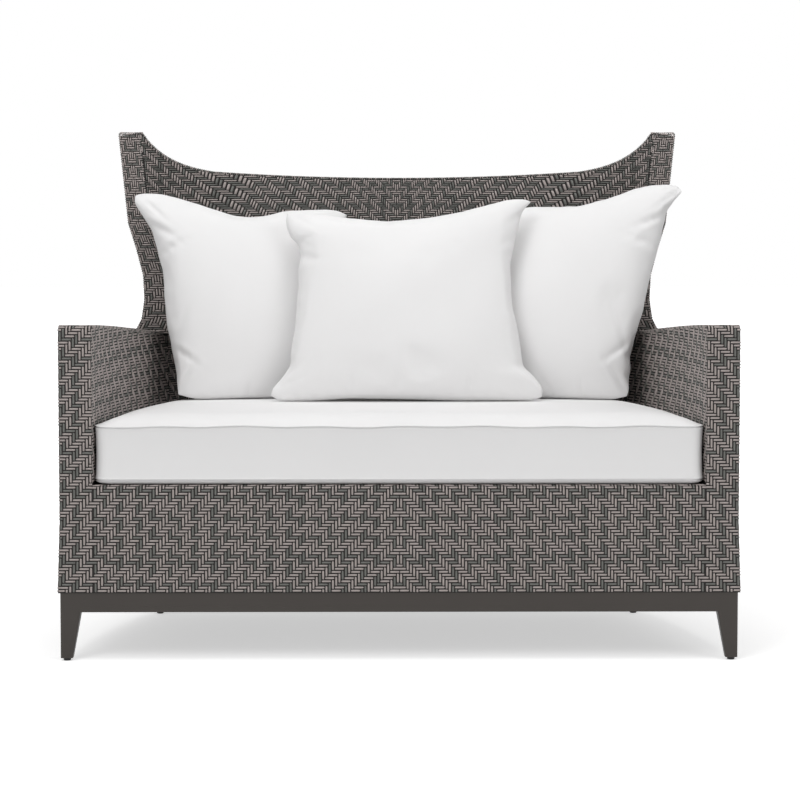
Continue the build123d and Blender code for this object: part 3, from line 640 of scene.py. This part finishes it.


# The finish of each CAD node, by the first of these that its name ends with.
# CAD weave skins take the near-black painted gap shade, which shows between the strands as their shadow.
DRESSING = (("_weave", "painted_gap_shade"), ("_glide", "glide_plastic"), ("seat_webbing", "strap"), ("_zip", "zip_tape"),
            ("_cover", "canvas"), ("_core", "canvas"), ("", "powder_coat"))
STRAP_COLOUR, ZIP_COLOUR = (0.03, 0.03, 0.032), (0.74, 0.73, 0.71)
STRAND_GRAIN = ("grain", 900.0, (0.3, 0.3, 1))


def dress(node, material):
    """Puts one material on a CAD node."""
    if not node.material_slots:
        node.data.materials.append(material)
    for slot in node.material_slots:
        slot.material = material


class LOVESEAT_OT_finishes(bpy.types.Operator):
    """Makes the finishes and puts them on the frame parts that stay as the CAD has them"""
    bl_idname = "loveseat.finishes"
    bl_label = "Finishes"

    def execute(self, context):
        weave, finish = context.scene.loveseat_weave, context.scene.loveseat_finish
        canvas = context.scene.loveseat_cushion
        groups.update(tone=tone_group(), grain=grain_group(), canvas=weave_group())
        surface_material("light_strand", weave.light_colour, 0.42, (60, 0.5), STRAND_GRAIN, bump=0.25)
        surface_material("dark_strand", weave.dark_colour, 0.4, (60, 0.5), STRAND_GRAIN, bump=0.25)
        # Painted shade: the weave skin is near-black so that the gaps between the strands read as shadow.
        surface_material("painted_gap_shade", weave.gap_shade_colour, 0.8, (40, 0.4), ("grain", 500))
        surface_material("powder_coat", finish.metal_colour, 0.42, (9, 0.18), ("grain", 1400), bump=0.18, Metallic=0.35)
        surface_material("glide_plastic", finish.glide_colour, 0.5, (60, 0.3), ("grain", 900))
        surface_material("strap", STRAP_COLOUR, 0.75, (30, 0.3), ("canvas", 160), bump=0.5)
        surface_material("canvas", canvas.fabric_colour, 0.92, (5, 0.03), ("canvas", 260), bump=0.4, bump_depth=0.00035,
                         **{"Sheen Weight": 0.15, "Sheen Roughness": 0.5, "Specular IOR Level": 0.15})
        surface_material("zip_tape", ZIP_COLOUR, 0.8, (20, 0.05), ("canvas", 300), bump=0.3)
        for name, node in nodes.items():
            dress(node, materials[next(look for ending, look in DRESSING if name.endswith(ending))])
        return {"FINISHED"}


class LOVESEAT_OT_front(bpy.types.Operator):
    """Weaves the front rail"""
    bl_idname = "loveseat.front"
    bl_label = "Front weave"

    def execute(self, context):
        strands = Strands(context.scene.loveseat_weave)
        spans = ((0, ARM_INNER), (WEAVE_START, RAIL_TOP + RAIL_LIP / 2))
        strands.twill(rail_surface, 1, spans, cell_size(context.scene.loveseat_weave), slant=-1, seams=(True, True))
        build_sides({"front_rail_strands_{}": strands})
        return {"FINISHED"}


class LOVESEAT_OT_arms(bpy.types.Operator):
    """Weaves the arms: front, top, outside and inside"""
    bl_idname = "loveseat.arms"
    bl_label = "Arm weaves"

    def execute(self, context):
        strands = Strands(context.scene.loveseat_weave)
        column, row = cell_size(context.scene.loveseat_weave)
        first, across = round(ARM_INNER / column), round(ARM_THICK / column)

        def under_top(s, z):
            return z < top_height(outer_face(s, z)) - EDGE_GAP

        def strip(s, way, shift=0.0):
            return lambda e, d: arm_strip(s + way * d, e + shift)

        def down(face):
            return lambda e, d: face(e, top_height(face(e, ARM_MIDDLE)) - d)

        strands.twill(arm_strip, 1, ((ARM_INNER, ARM_HALF), (WEAVE_START, ARM_TURN_END + WING_DEPTH - ARM_RADIUS)),
                      (ARM_THICK / across, row), first=(first, 0), slant=-1, seams=(True, True))
        outer_end = outer_face.at_depth(WING_DEPTH, WING_FOOT)
        strands.twill(outer_face, 1, ((0, outer_end), (WEAVE_START, ARM_FRONT)), (column, row),
                      first=(first + across, 0), inside=under_top, slant=-1, seams=(True, False))
        rows = np.arange(int((ARM_FLAT - WEAVE_START) / row))
        last = crosses(first + across - 1, rows, -1) < OVER
        near = (WEAVE_START + rows * row > RAIL_TOP) & (crosses(first, rows, -1) < OVER)
        strands.wraps(lambda e, d: outer_face(d, e), strip(ARM_HALF, -1), rows[last], WEAVE_START, row,
                      BRIDGE_REACH, bridge=True)
        strands.wraps(strip(ARM_INNER, 1), lambda e, d: inner_face(d, e), rows[near], WEAVE_START, row, FRONT_REACH)
        places = np.arange(int((WING_DEPTH - ARM_RADIUS - EDGE_GAP) / column))
        for face, s, way in ((outer_face, ARM_HALF, -1), (inner_face, ARM_INNER, 1)):
            strands.wraps(strip(s, way, ARM_TURN_END - ARM_RADIUS), down(face), places, ARM_RADIUS, column,
                          TOP_REACH, rhythm=COLUMN_RHYTHM)
        build_sides({"{}_arm_strands": strands})
        return {"FINISHED"}


class LOVESEAT_OT_back(bpy.types.Operator):
    """Weaves the back, inside and outside, the wings and the top edge"""
    bl_idname = "loveseat.back"
    bl_label = "Back weave"

    def execute(self, context):
        weave = context.scene.loveseat_weave
        column, row = cell_size(weave)
        back_row = weave.back_pitch / MM
        outer, near, inner, ribbon = (Strands(weave) for _ in range(4))

        def wing_side(surface):
            def inside(s, z):
                point = surface(s, z)
                past = point[..., 1] - FRONT_Y
                return (z < top_height(point) - EDGE_GAP) & (past > WING_DEPTH + EDGE_GAP * (z > WING_FOOT))
            return inside

        def arm_side(s, z):
            point = inner_face(s, z)
            return (z < top_height(point) - EDGE_GAP) & (point[..., 1] - FRONT_Y < WING_DEPTH)

        start = outer_face.at_depth(WING_DEPTH, WING_FOOT)
        count = round((outer_face.length - start + OUTER_MARGIN) / column)
        outer.twill(outer_face, 1, ((outer_face.length - count * column, outer_face.length), (WEAVE_START, TIP)),
                    (column, row), first=(-count, 0), inside=wing_side(outer_face), seams=(False, True))
        near.twill(inner_face, -1, ((0, inner_face.at_depth(WING_DEPTH, RAIL_TOP) + ARM_MARGIN),
                                    (WEAVE_START + INNER_FIRST * row, ARM_FRONT)),
                   (column, row), first=(0, INNER_FIRST), inside=arm_side, slant=-1)
        start = inner_face.at_depth(WING_DEPTH, TIP) - INNER_MARGIN
        count = round(np.interp(inner_face.length - start, COLUMN_PLACE, COLUMN_COUNT))
        inner.twill(back_inside, -1, ((-count, 0), (RAIL_TOP + RAIL_GAP, TIP)), (1, back_row), first=(-count, 0),
                    inside=wing_side(back_inside), slant=-1, rhythms=(BACK_COLUMNS, BACK_ROWS), seams=(False, True))
        length, middle = BAND_RUN[-1], BAND_WIDTH / 2
        cell = (middle / BAND_COLUMNS, back_row * BAND_ROW_SHARE)
        rhythms = (BACK_COLUMNS, ROW_RHYTHM)
        ribbon.twill(band, 1, ((0, middle), (0, length)), cell, rhythms=rhythms, seams=(False, True))
        ribbon.twill(band, 1, ((middle, BAND_WIDTH), (0, length)), cell, first=(BAND_COLUMNS - 1, 0), slant=-1,
                     rhythms=rhythms, seams=(True, False))
        for outside in (False, True):
            ribbon.wraps(*band_side(outside), np.arange(int(length / cell[1])), 0, cell[1], BAND_REACH,
                         rhythm=BACK_ROWS)
        build_sides({"back_outside_strands_{}": outer, "{}_arm_inside_strands": near,
                     "back_inside_strands_{}": inner, "{}_wing_band_strands": ribbon})
        return {"FINISHED"}


def mesh_piece(name, points, faces, material, body, smooth=True):
    """Object from points in metres and faces, riding on a body."""
    mesh = bpy.data.meshes.new(name)
    mesh.from_pydata(points.tolist(), [], [tuple(map(int, face)) for face in faces])
    mesh.update()
    mesh.polygons.foreach_set("use_smooth", [smooth] * len(mesh.polygons))
    mesh.materials.append(material)
    piece = add_object(name, mesh)
    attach(piece, body)
    return piece


PILLOW_COUNT = (64, 52)
PILLOW_HALF = 74
PILLOW_LEAN = 14
PILLOW_SEED = 4
FULLNESS = 0.5
SEAT_TOP, SINK = 521.0, 0.02
EVEN, BUNCHED = 0.65, 0.35
SLACK_HEIGHT, GATHER_HEIGHT, GATHER_REACH, SEAM_FADE = 1.4, 1.1, 0.07, 9
SLACK_WAVES, SLACK_PHASES = (2, 6), (0, 6)
GATHER_SPAN, GATHER_DRIFT, SIDE_GATHER_SPAN = 6.1, 17, 6.7
FOLD_WIDTH, RIDGE_PLACE, RIDGE_WIDTH, RIDGE_SHARE = 5, 10, 7, 0.5
SEAM_BLUR, SEAM_POINTS = 15, 400
CLOTH = {"quality": 5, "mass": 0.3, "tension_stiffness": 20, "compression_stiffness": 20, "shear_stiffness": 8,
         "bending_stiffness": 0.6, "use_pressure": True}
ZIP_ENDS, ZIP_LIFT = 8, 0.0008
TOOTH, TOOTH_PITCH = np.array((0.0007, 0.0014, 0.0006)), 0.0026
TOOTH_LIFT, TOOTH_STAGGER = ZIP_LIFT * 1.6, TOOTH[1] * 0.7
TOOTH_SIDES = ((0, 1, 3, 2), (4, 6, 7, 5), (0, 4, 5, 1), (2, 3, 7, 6), (0, 2, 6, 4), (1, 5, 7, 3))

# Each pillow: its middle, its turn and roll, and its seam line in millimetres across and up its face,
# side by side from the lower left corner; folds are short dents at a place, with direction, length and depth.
PILLOWS = {
    "centre": {
        "at": (12, 478, 731.5), "turn": 0, "roll": 0, "back": 0.82,
        "bottom": ((-297, -204), (-278, -216), (-209, -217), (-120, -213), (-7, -214), (122, -217), (254, -216),
                   (300, -214), (312, -207)),
        "right": ((312, -207), (315, -185), (293, -152), (276, -134), (272, -94), (266, -49), (256, 4), (254, 49),
                  (252, 98), (259, 143), (266, 184), (274, 224), (294, 249)),
        "top": ((-263, 224), (-175, 220), (-122, 214), (-34, 209), (60, 217), (126, 227), (192, 242), (241, 254),
                (280, 256), (294, 249)),
        "left": ((-297, -204), (-295, -187), (-274, -156), (-261, -129), (-259, -94), (-250, -40), (-246, 13),
                 (-242, 53), (-242, 96), (-236, 121), (-240, 145), (-258, 166), (-267, 197), (-263, 224)),
        "folds": ((-222, 112, -15, 34, 5), (-232, 150, 20, 30, 3), (-262, -160, 40, 44, 4), (-120, -188, 78, 34, 4),
                  (-10, -186, 95, 40, 3), (150, -184, 84, 36, 4), (280, -160, 140, 42, 5), (282, 226, 40, 40, 5),
                  (-236, 205, -35, 40, 3), (252, 150, 200, 34, 3)),
    },
    "left": {
        "at": (-316, 586, 741.5), "turn": 18, "roll": -3, "back": 0.96,
        "bottom": ((-198, -224), (-166, -232), (-130, -234), (-50, -233), (19, -231), (137, -229), (205, -228),
                   (235, -222)),
        "right": ((235, -222), (232, -190), (222, -120), (214, -40), (208, 60), (203, 130), (206, 185), (213, 219)),
        "top": ((-292, 238), (-278, 244), (-237, 246), (-205, 241), (-151, 229), (-106, 218), (-60, 208), (-19, 207),
                (14, 211), (60, 223), (117, 227), (159, 230), (187, 229), (213, 219)),
        "left": ((-198, -224), (-202, -188), (-206, -153), (-214, -113), (-225, -64), (-233, -1), (-237, 52),
                 (-250, 111), (-261, 155), (-274, 180), (-297, 221), (-292, 238)),
        "folds": ((-250, 158, -30, 42, 7), (-222, 108, 25, 40, 6), (-256, 205, -50, 34, 4), (-196, -130, -35, 44, 6),
                  (-188, -188, 60, 40, 5), (-206, -90, 70, 60, 3), (60, -205, 60, 46, 4), (-40, -212, 85, 30, 3),
                  (150, -190, 115, 50, 4)),
    },
    "right": {
        "at": (319, 586, 741.5), "turn": -18, "roll": 3, "back": 0.96,
        "bottom": ((-182, -222), (-150, -230), (-60, -232), (20, -232), (70, -234), (138, -235), (187, -236),
                   (218, -230)),
        "right": ((218, -230), (225, -216), (225, -185), (231, -163), (231, -136), (238, -105), (246, -74),
                  (259, -30), (270, 24), (279, 64), (292, 108), (307, 166), (316, 198), (332, 226), (345, 244)),
        "top": ((-146, 198), (-116, 208), (-86, 218), (-14, 229), (51, 229), (115, 232), (188, 246), (237, 259),
                (273, 264), (314, 264), (334, 260), (345, 244)),
        "left": ((-182, -222), (-178, -190), (-168, -120), (-160, -40), (-154, 60), (-148, 130), (-146, 170),
                 (-146, 198)),
        "folds": ((286, 172, 205, 44, 7), (262, 118, 160, 40, 6), (312, 224, 225, 36, 4), (206, -128, 215, 44, 6),
                  (200, -186, 120, 40, 5), (212, -80, 105, 60, 3), (40, -205, 120, 46, 4), (120, -212, 92, 30, 3),
                  (-120, -190, 70, 50, 4)),
    },
}


def pillow_matrix(at, turn, roll, **seams):
    """Placement of a pillow: local X across it, Y up it and Z out of its face."""
    lean, turn, roll = (math.radians(v) for v in (PILLOW_LEAN, turn, roll))
    facing = Vector((math.sin(turn), -math.cos(turn), 0))
    across = Vector((math.cos(turn), math.sin(turn), 0))
    normal = facing * math.cos(lean) + Vector((0, 0, math.sin(lean)))
    across = across * math.cos(roll) + normal.cross(across) * math.sin(roll)
    place = Vector((at[0], at[1] + FRONT_Y, at[2])) * MM
    return Matrix.Translation(place) @ Matrix((across, normal.cross(across), normal)).transposed().to_4x4()


def along_line(points, shares):
    """Points at shares of the length of a line, rounded a little at its bends."""
    points = np.array(points, float)
    run = running_length(points)
    fine = np.linspace(0, run[-1], SEAM_POINTS)
    line = follow(fine, run, points)
    blur = np.hanning(2 * SEAM_BLUR + 1)
    padded = np.concatenate([2 * line[:1] - line[SEAM_BLUR:0:-1], line,
                             2 * line[-1:] - line[-2:-SEAM_BLUR - 2:-1]])
    line = np.stack([np.convolve(column, blur / blur.sum(), "valid") for column in padded.T], 1)
    return follow(shares * run[-1], fine, line)


def sewn_pillow(shape, seed):
    """Closed pillow between its four seams: points in millimetres, faces and the rows of its lower seam."""
    a, b = (0.5 - 0.5 * np.cos(math.pi * t) * BUNCHED + (t - 0.5) * EVEN
            for t in (np.linspace(0, 1, count + 1) for count in PILLOW_COUNT))
    bottom, top = (along_line(shape[seam], a) for seam in ("bottom", "top"))
    left, right = (along_line(shape[seam], b) for seam in ("left", "right"))
    u, v = (grid[..., None] for grid in np.meshgrid(a, b, indexing="ij"))
    flat = (mix(bottom[:, None], top[:, None], v) + mix(left, right, u)
            - mix(mix(bottom[0], bottom[-1], u), mix(top[0], top[-1], u), v))
    x, y = flat[..., 0], flat[..., 1]
    u, v = 2 * u[..., 0] - 1, 2 * v[..., 0] - 1
    swell = ((1 - u**2) * (1 - v**2)).clip(0) ** FULLNESS
    draw = np.random.default_rng(seed)
    slack = sum(np.sin(u * draw.uniform(*SLACK_WAVES) + draw.uniform(*SLACK_PHASES))
                * np.sin(v * draw.uniform(*SLACK_WAVES) + draw.uniform(*SLACK_PHASES))
                for _ in range(4)) * SLACK_HEIGHT
    near_seam = np.exp(-np.minimum(1 - np.abs(u), 1 - np.abs(v)) / GATHER_REACH)
    gather = np.sin(x / GATHER_SPAN + 2 * np.sin(y / GATHER_DRIFT)) + np.sin(y / SIDE_GATHER_SPAN)
    gather = gather * near_seam * GATHER_HEIGHT
    dents = np.zeros_like(u)
    for fold_x, fold_y, turn, length, depth in shape["folds"]:
        turn = math.radians(turn)
        dx, dy = x - fold_x, y - fold_y
        down = dx * math.cos(turn) + dy * math.sin(turn)
        side = dy * math.cos(turn) - dx * math.sin(turn)
        ridge = RIDGE_SHARE * np.exp(-((side - RIDGE_PLACE) / RIDGE_WIDTH) ** 2)
        dents -= depth * np.exp(-(down / length) ** 2) * (np.exp(-(side / FOLD_WIDTH) ** 2) - ridge)
    layers = []
    for way, share, creases in ((1, 1, dents), (-1, shape["back"], 0)):
        height = PILLOW_HALF * share * swell + (slack + gather + creases) * (1 - np.exp(-swell * SEAM_FADE))
        layers.append(np.concatenate([flat, np.maximum(height, 0)[..., None] * way], -1))
    index = np.arange(u.size).reshape(u.shape)
    other = index.copy()
    within = other[1:-1, 1:-1]
    within[...] = u.size + np.arange(within.size).reshape(within.shape)
    points = np.concatenate([layers[0].reshape(-1, 3), layers[1][1:-1, 1:-1].reshape(-1, 3)])
    faces = np.concatenate([grid_faces(index), grid_faces(other)[:, ::-1]])
    return points, faces, (index[:, 0], other[:, 1], other[:, 2])


def zip_piece(name, points, rows, body):
    """Zip along a pillow's lower seam: its tape on the cloth behind the seam and a chain of teeth."""
    edge, middle, far = (points[row][ZIP_ENDS:-ZIP_ENDS] for row in rows)
    out = np.cross(middle[1:] - middle[:-1], far[1:] - middle[1:])
    out = unit(np.concatenate([out, out[-1:]]))
    out = out * np.where(out[:, 2:] > 0, -1, 1)
    count = len(edge)
    parts = [edge, middle + out * ZIP_LIFT, far]
    faces = [(a + k * count, a + 1 + k * count, a + 1 + (k + 1) * count, a + (k + 1) * count)
             for k in range(2) for a in range(count - 1)]
    run = running_length(middle)
    corners = np.array([(x, y, z) for x in (-1, 1) for y in (-1, 1) for z in (-1, 1)]) * TOOTH
    for number, at in enumerate(np.arange(run[1], run[-2], TOOTH_PITCH)):
        k = min(int(np.searchsorted(run, at)), count - 1)
        along = unit(middle[k] - middle[k - 1])
        across = np.cross(out[k], along)
        centre = (middle[k - 1] + (at - run[k - 1]) * along + out[k] * TOOTH_LIFT
                  + across * (TOOTH_STAGGER if number % 2 else -TOOTH_STAGGER))
        parts.append(centre + corners @ np.stack([along, across, out[k]]))
        faces += [tuple(3 * count + len(corners) * number + v for v in side) for side in TOOTH_SIDES]
    piece = mesh_piece(name, np.concatenate(parts), faces, materials["zip_tape"], body, smooth=False)
    return piece


def settle_cloth(piece, cushion, start):
    """Tensions a pillow's cloth over its fill and leaves small slack wrinkles; no point moves far."""
    cloth = piece.modifiers.new("fill", "CLOTH")
    for key, value in {**CLOTH, "shrink_min": -cushion.slack, "uniform_pressure_force": cushion.pressure}.items():
        setattr(cloth.settings, key, value)
    cloth.settings.effector_weights.gravity = 0
    cloth.collision_settings.use_collision = False
    scene = bpy.context.scene
    scene.frame_start, scene.frame_end = 1, cushion.frames
    for step in range(1, cushion.frames + 1):
        scene.frame_set(step)
    graph = bpy.context.evaluated_depsgraph_get()
    filled = np.empty(len(piece.data.vertices) * 3)
    piece.evaluated_get(graph).data.vertices.foreach_get("co", filled)
    piece.modifiers.remove(cloth)
    scene.frame_set(1)
    moved = filled.reshape(-1, 3) - start
    far = np.linalg.norm(moved, axis=1, keepdims=True)
    return start + moved * np.minimum(1, cushion.reach / np.maximum(far, 1e-9))


class LOVESEAT_OT_pillows(bpy.types.Operator):
    """Sews, fills and places the three loose pillows"""
    bl_idname = "loveseat.pillows"
    bl_label = "Pillows"

    def execute(self, context):
        settings = context.scene.loveseat_cushion
        for number, (name, shape) in enumerate(PILLOWS.items()):
            points, faces, seam = sewn_pillow(shape, PILLOW_SEED + number)
            body = f"{name}_pillow"
            piece = mesh_piece(f"{name}_pillow_canvas", points * MM, faces, materials["canvas"], body)
            filled = settle_cloth(piece, settings, points * MM)
            matrix = np.array(pillow_matrix(**shape))
            world = filled @ matrix[:3, :3].T + matrix[:3, 3]
            rest = SEAT_TOP * MM
            low = world[:, 2] < rest
            world[low, 2] = mix(rest, world[low, 2], SINK)
            piece.data.vertices.foreach_set("co", world.astype(np.float32).ravel())
            piece.data.update()
            smooth = piece.modifiers.new("smooth", "SUBSURF")
            smooth.levels = smooth.render_levels = 1
            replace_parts(piece, f"{name}_pillow_cover", f"{name}_pillow_core")
            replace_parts(zip_piece(f"{name}_pillow_zip_chain", world, seam, body), f"{name}_pillow_zip")
        return {"FINISHED"}


CUSHION = {"gap": 4, "front": 5, "radius": 24, "back": 658, "bottom_seam": 384, "top_seam": 495, "crown": 26,
           "run": 115, "draw": 2, "base": 373.3, "points": 420}
UNDERSIDE = ((45, 0), (30, 0.1), (20, 0.6), (12, 1.8), (6.5, 3.7), (3, 5.6), (1.2, 7.2), (0.3, 8.6))
SEAM = ((0, -3.2), (-0.4, -1.7), (3.2, 0.0), (-0.4, 1.7), (0, 3.2))
# Waves of the top seam: the axis they run along, height, length and phase.
SEAM_WAVES = ((0, 1.1, 27, 1.3), (0, 0.8, 71, 0), (1, 0.9, 33, 0.4))
WAVE_REACH = 12
SIDE_POWER, CROWN_POWER = 0.8, 2.7
SIDE_RINGS, CROWN_RINGS, END_RINGS, CORNER_STEPS = 13, 15, 14, 9


def cushion_plan(inset):
    """Closed plan of the seat cushion, moved in by inset, as points all round it."""
    step = (OUTER_SIDE - INNER_SIDE + inset) * math.tan(math.radians(TURN))
    side_x = FOOT_HALF - ARM_THICK + step - CUSHION["gap"]
    front, radius = CUSHION["front"] + inset, CUSHION["radius"]
    x = ARM_INNER - CUSHION["gap"] - inset
    plan = half_plan(x, side_x - inset, INNER_SIDE - inset, TURN, CUSHION["back"] - inset)
    corner = [(x - radius + radius * math.sin(a), front + radius - radius * math.cos(a))
              for a in np.linspace(0, math.pi / 2, CORNER_STEPS)]
    half = np.concatenate([[(0, front)], corner, plan[plan[:, 1] > front + radius]])
    closed = np.concatenate([half, half[-2:0:-1] * [-1, 1], half[:1]])
    run = running_length(closed)
    return follow(np.linspace(0, run[-1], CUSHION["points"], endpoint=False), run, closed)


class LOVESEAT_OT_seat_cushion(bpy.types.Operator):
    """Makes the box seat cushion with its seams and crown"""
    bl_idname = "loveseat.seat_cushion"
    bl_label = "Seat cushion"

    def execute(self, context):
        c = CUSHION
        base, low, high = c["base"], c["bottom_seam"], c["top_seam"]
        rings = [(inset, base + rise) for inset, rise in UNDERSIDE]
        rings += [(inset, low + rise) for inset, rise in SEAM[1:]]
        rings += [(c["draw"] * math.sin(math.pi * share) ** SIDE_POWER, mix(low, high, share))
                  for share in np.linspace(0, 1, SIDE_RINGS)[1:-1]]
        rings += [(inset, high + rise) for inset, rise in SEAM]
        rings += [(c["run"] * share, high + c["crown"] * (1 - (1 - share) ** CROWN_POWER))
                  for share in np.linspace(0, 1, CROWN_RINGS)[1:]]
        stack = [np.concatenate([cushion_plan(inset), np.full((c["points"], 1), z)], 1) for inset, z in rings]
        poles = [np.array([0, (c["front"] + c["back"]) / 2, ring[0, 2]]) for ring in (stack[0], stack[-1])]
        inward = np.linspace(0, 1, END_RINGS)[1:-1]
        stack = ([mix(stack[0], poles[0], share) for share in inward[::-1]] + stack
                 + [mix(stack[-1], poles[1], share) for share in inward])
        points = np.concatenate(stack)
        wave = sum(height * np.sin(points[:, axis] / span + phase) for axis, height, span, phase in SEAM_WAVES)
        points[:, 2] += wave * np.exp(-((points[:, 2] - high) / WAVE_REACH) ** 2)
        points = np.concatenate([points, poles])
        points[:, 1] += FRONT_Y
        grid = np.arange(len(stack) * c["points"]).reshape(len(stack), -1)
        grid = np.concatenate([grid, grid[:, :1]], 1)
        faces = grid_faces(grid)[:, [0, 3, 2, 1]].tolist()
        bottom, top = len(points) - 2, len(points) - 1
        faces += [(bottom, b, a) for a, b in zip(grid[0], grid[0, 1:])]
        faces += [(top, a, b) for a, b in zip(grid[-1], grid[-1, 1:])]
        piece = mesh_piece("seat_cushion_canvas", points * MM, faces, materials["canvas"], "seat_cushion")
        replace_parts(piece, "seat_cushion_cover", "seat_cushion_core")
        return {"FINISHED"}


FLOOR_HALF = 30
GLOW = {"From Min": 0.8, "From Max": 2.4, "To Min": 0.55, "To Max": 1.0}
SKY_LIGHT = {"To Min": 0.36, "To Max": 1.0}
LIGHTS = (("key", (-2.2, -4.2, 3.8), 2.6, 77), ("fill", (3.4, -3.6, 2.4), 2.6, 35), ("top", (0, -0.9, 4.2), 3.0, 69))
LIGHT_AIM = Vector((0, 0, 0.5))
EYE_X, EYE_PITCH, EYE_YAW = -0.050, 3.96, -0.535


def either(tree, rays):
    """One where a ray is of either kind."""
    path = add_node(tree, "LightPath")
    return add_node(tree, "Math", {k: path.outputs[ray] for k, ray in enumerate(rays)}, operation="MAXIMUM").outputs[0]


class LOVESEAT_OT_stage(bpy.types.Operator):
    """Sets the floor, the light and the camera"""
    bl_idname = "loveseat.stage"
    bl_label = "Stage"

    def execute(self, context):
        settings, scene = context.scene.loveseat_stage, context.scene
        scene.view_settings.view_transform = "Standard"
        mesh = bpy.data.meshes.new("floor")
        corners = ((-1, -1), (1, -1), (1, 1), (-1, 1))
        mesh.from_pydata([(x * FLOOR_HALF, y * FLOOR_HALF, 0) for x, y in corners], [], [(0, 1, 2, 3)])
        material = bpy.data.materials.new("floor_white")
        material.use_nodes = True
        tree = material.node_tree
        seen = either(tree, ("Is Camera Ray", "Is Glossy Ray"))
        place = add_node(tree, "TexCoord")
        away = add_node(tree, "VectorMath", {0: place.outputs["Object"]}, operation="LENGTH")
        glow = add_node(tree, "MapRange", {**GLOW, "Value": away.outputs["Value"]}, interpolation_type="SMOOTHSTEP")
        scale = add_node(tree, "Math", {0: seen, 1: glow.outputs["Result"]}, operation="MULTIPLY")
        for key, value in {"Base Color": (0.8, 0.8, 0.8, 1), "Roughness": 1, "Specular IOR Level": 0,
                           "Emission Color": (1, 1, 1, 1), "Emission Strength": scale.outputs[0]}.items():
            feed(tree, tree.nodes["Principled BSDF"].inputs[key], value)
        mesh.materials.append(material)
        floor = add_object("floor", mesh)
        scene.world = bpy.data.worlds.new("studio")
        scene.world.use_nodes = True
        tree = scene.world.node_tree
        seen = either(tree, ("Is Camera Ray", "Is Transmission Ray"))
        level = add_node(tree, "MapRange", {**SKY_LIGHT, "Value": seen})
        for key, value in (("Color", (1, 1, 1, 1)), ("Strength", level.outputs["Result"])):
            feed(tree, tree.nodes["Background"].inputs[key], value)
        for name, place, size, power in LIGHTS:
            light = bpy.data.lights.new(name, "AREA")
            light.shape, light.size, light.energy = "SQUARE", size, power
            lamp = add_object(name, light)
            lamp.location = place
            lamp.rotation_euler = (LIGHT_AIM - Vector(place)).to_track_quat("-Z", "Y").to_euler()
        camera = bpy.data.cameras.new("camera")
        camera.lens, camera.sensor_width = settings.lens, 36
        camera.clip_start, camera.clip_end = 0.1, 100
        scene.camera = add_object("camera", camera)
        scene.camera.location = (EYE_X, FRONT_Y * MM - settings.distance, settings.height)
        scene.camera.rotation_euler = (math.radians(90 - EYE_PITCH), 0, math.radians(EYE_YAW))
        return {"FINISHED"}


class LOVESEAT_PT_panel(bpy.types.Panel):
    """Lists the steps that dress the loveseat"""
    bl_label = "Loveseat"
    bl_idname = "LOVESEAT_PT_panel"
    bl_space_type = "VIEW_3D"
    bl_region_type = "UI"
    bl_category = PANEL_TAB

    def draw(self, context):
        for step in STEPS:
            self.layout.operator(step.bl_idname)
        for name in SETTINGS:
            settings = getattr(context.scene, name)
            box = self.layout.box()
            for key in settings.bl_rna.properties.keys():
                if key not in ("rna_type", "name"):
                    box.prop(settings, key)


SETTINGS = {"loveseat_weave": WeaveSettings, "loveseat_cushion": CushionSettings,
            "loveseat_finish": FinishSettings, "loveseat_stage": StageSettings}
STEPS = (LOVESEAT_OT_finishes, LOVESEAT_OT_front, LOVESEAT_OT_arms, LOVESEAT_OT_back,
         LOVESEAT_OT_seat_cushion, LOVESEAT_OT_pillows, LOVESEAT_OT_stage)


def register():
    for group in SETTINGS.values():
        bpy.utils.register_class(group)
    for name, group in SETTINGS.items():
        setattr(bpy.types.Scene, name, bpy.props.PointerProperty(type=group))
    for item in (*STEPS, LOVESEAT_PT_panel):
        bpy.utils.register_class(item)


def unregister():
    for item in (LOVESEAT_PT_panel, *reversed(STEPS)):
        bpy.utils.unregister_class(item)
    for name in SETTINGS:
        delattr(bpy.types.Scene, name)
    for group in SETTINGS.values():
        bpy.utils.unregister_class(group)


def main():
    register()
    bpy.ops.loveseat.finishes()
    bpy.ops.loveseat.front()
    bpy.ops.loveseat.arms()
    bpy.ops.loveseat.back()
    bpy.ops.loveseat.seat_cushion()
    bpy.ops.loveseat.pillows()
    bpy.ops.loveseat.stage()


if __name__ == "__main__":
    main()
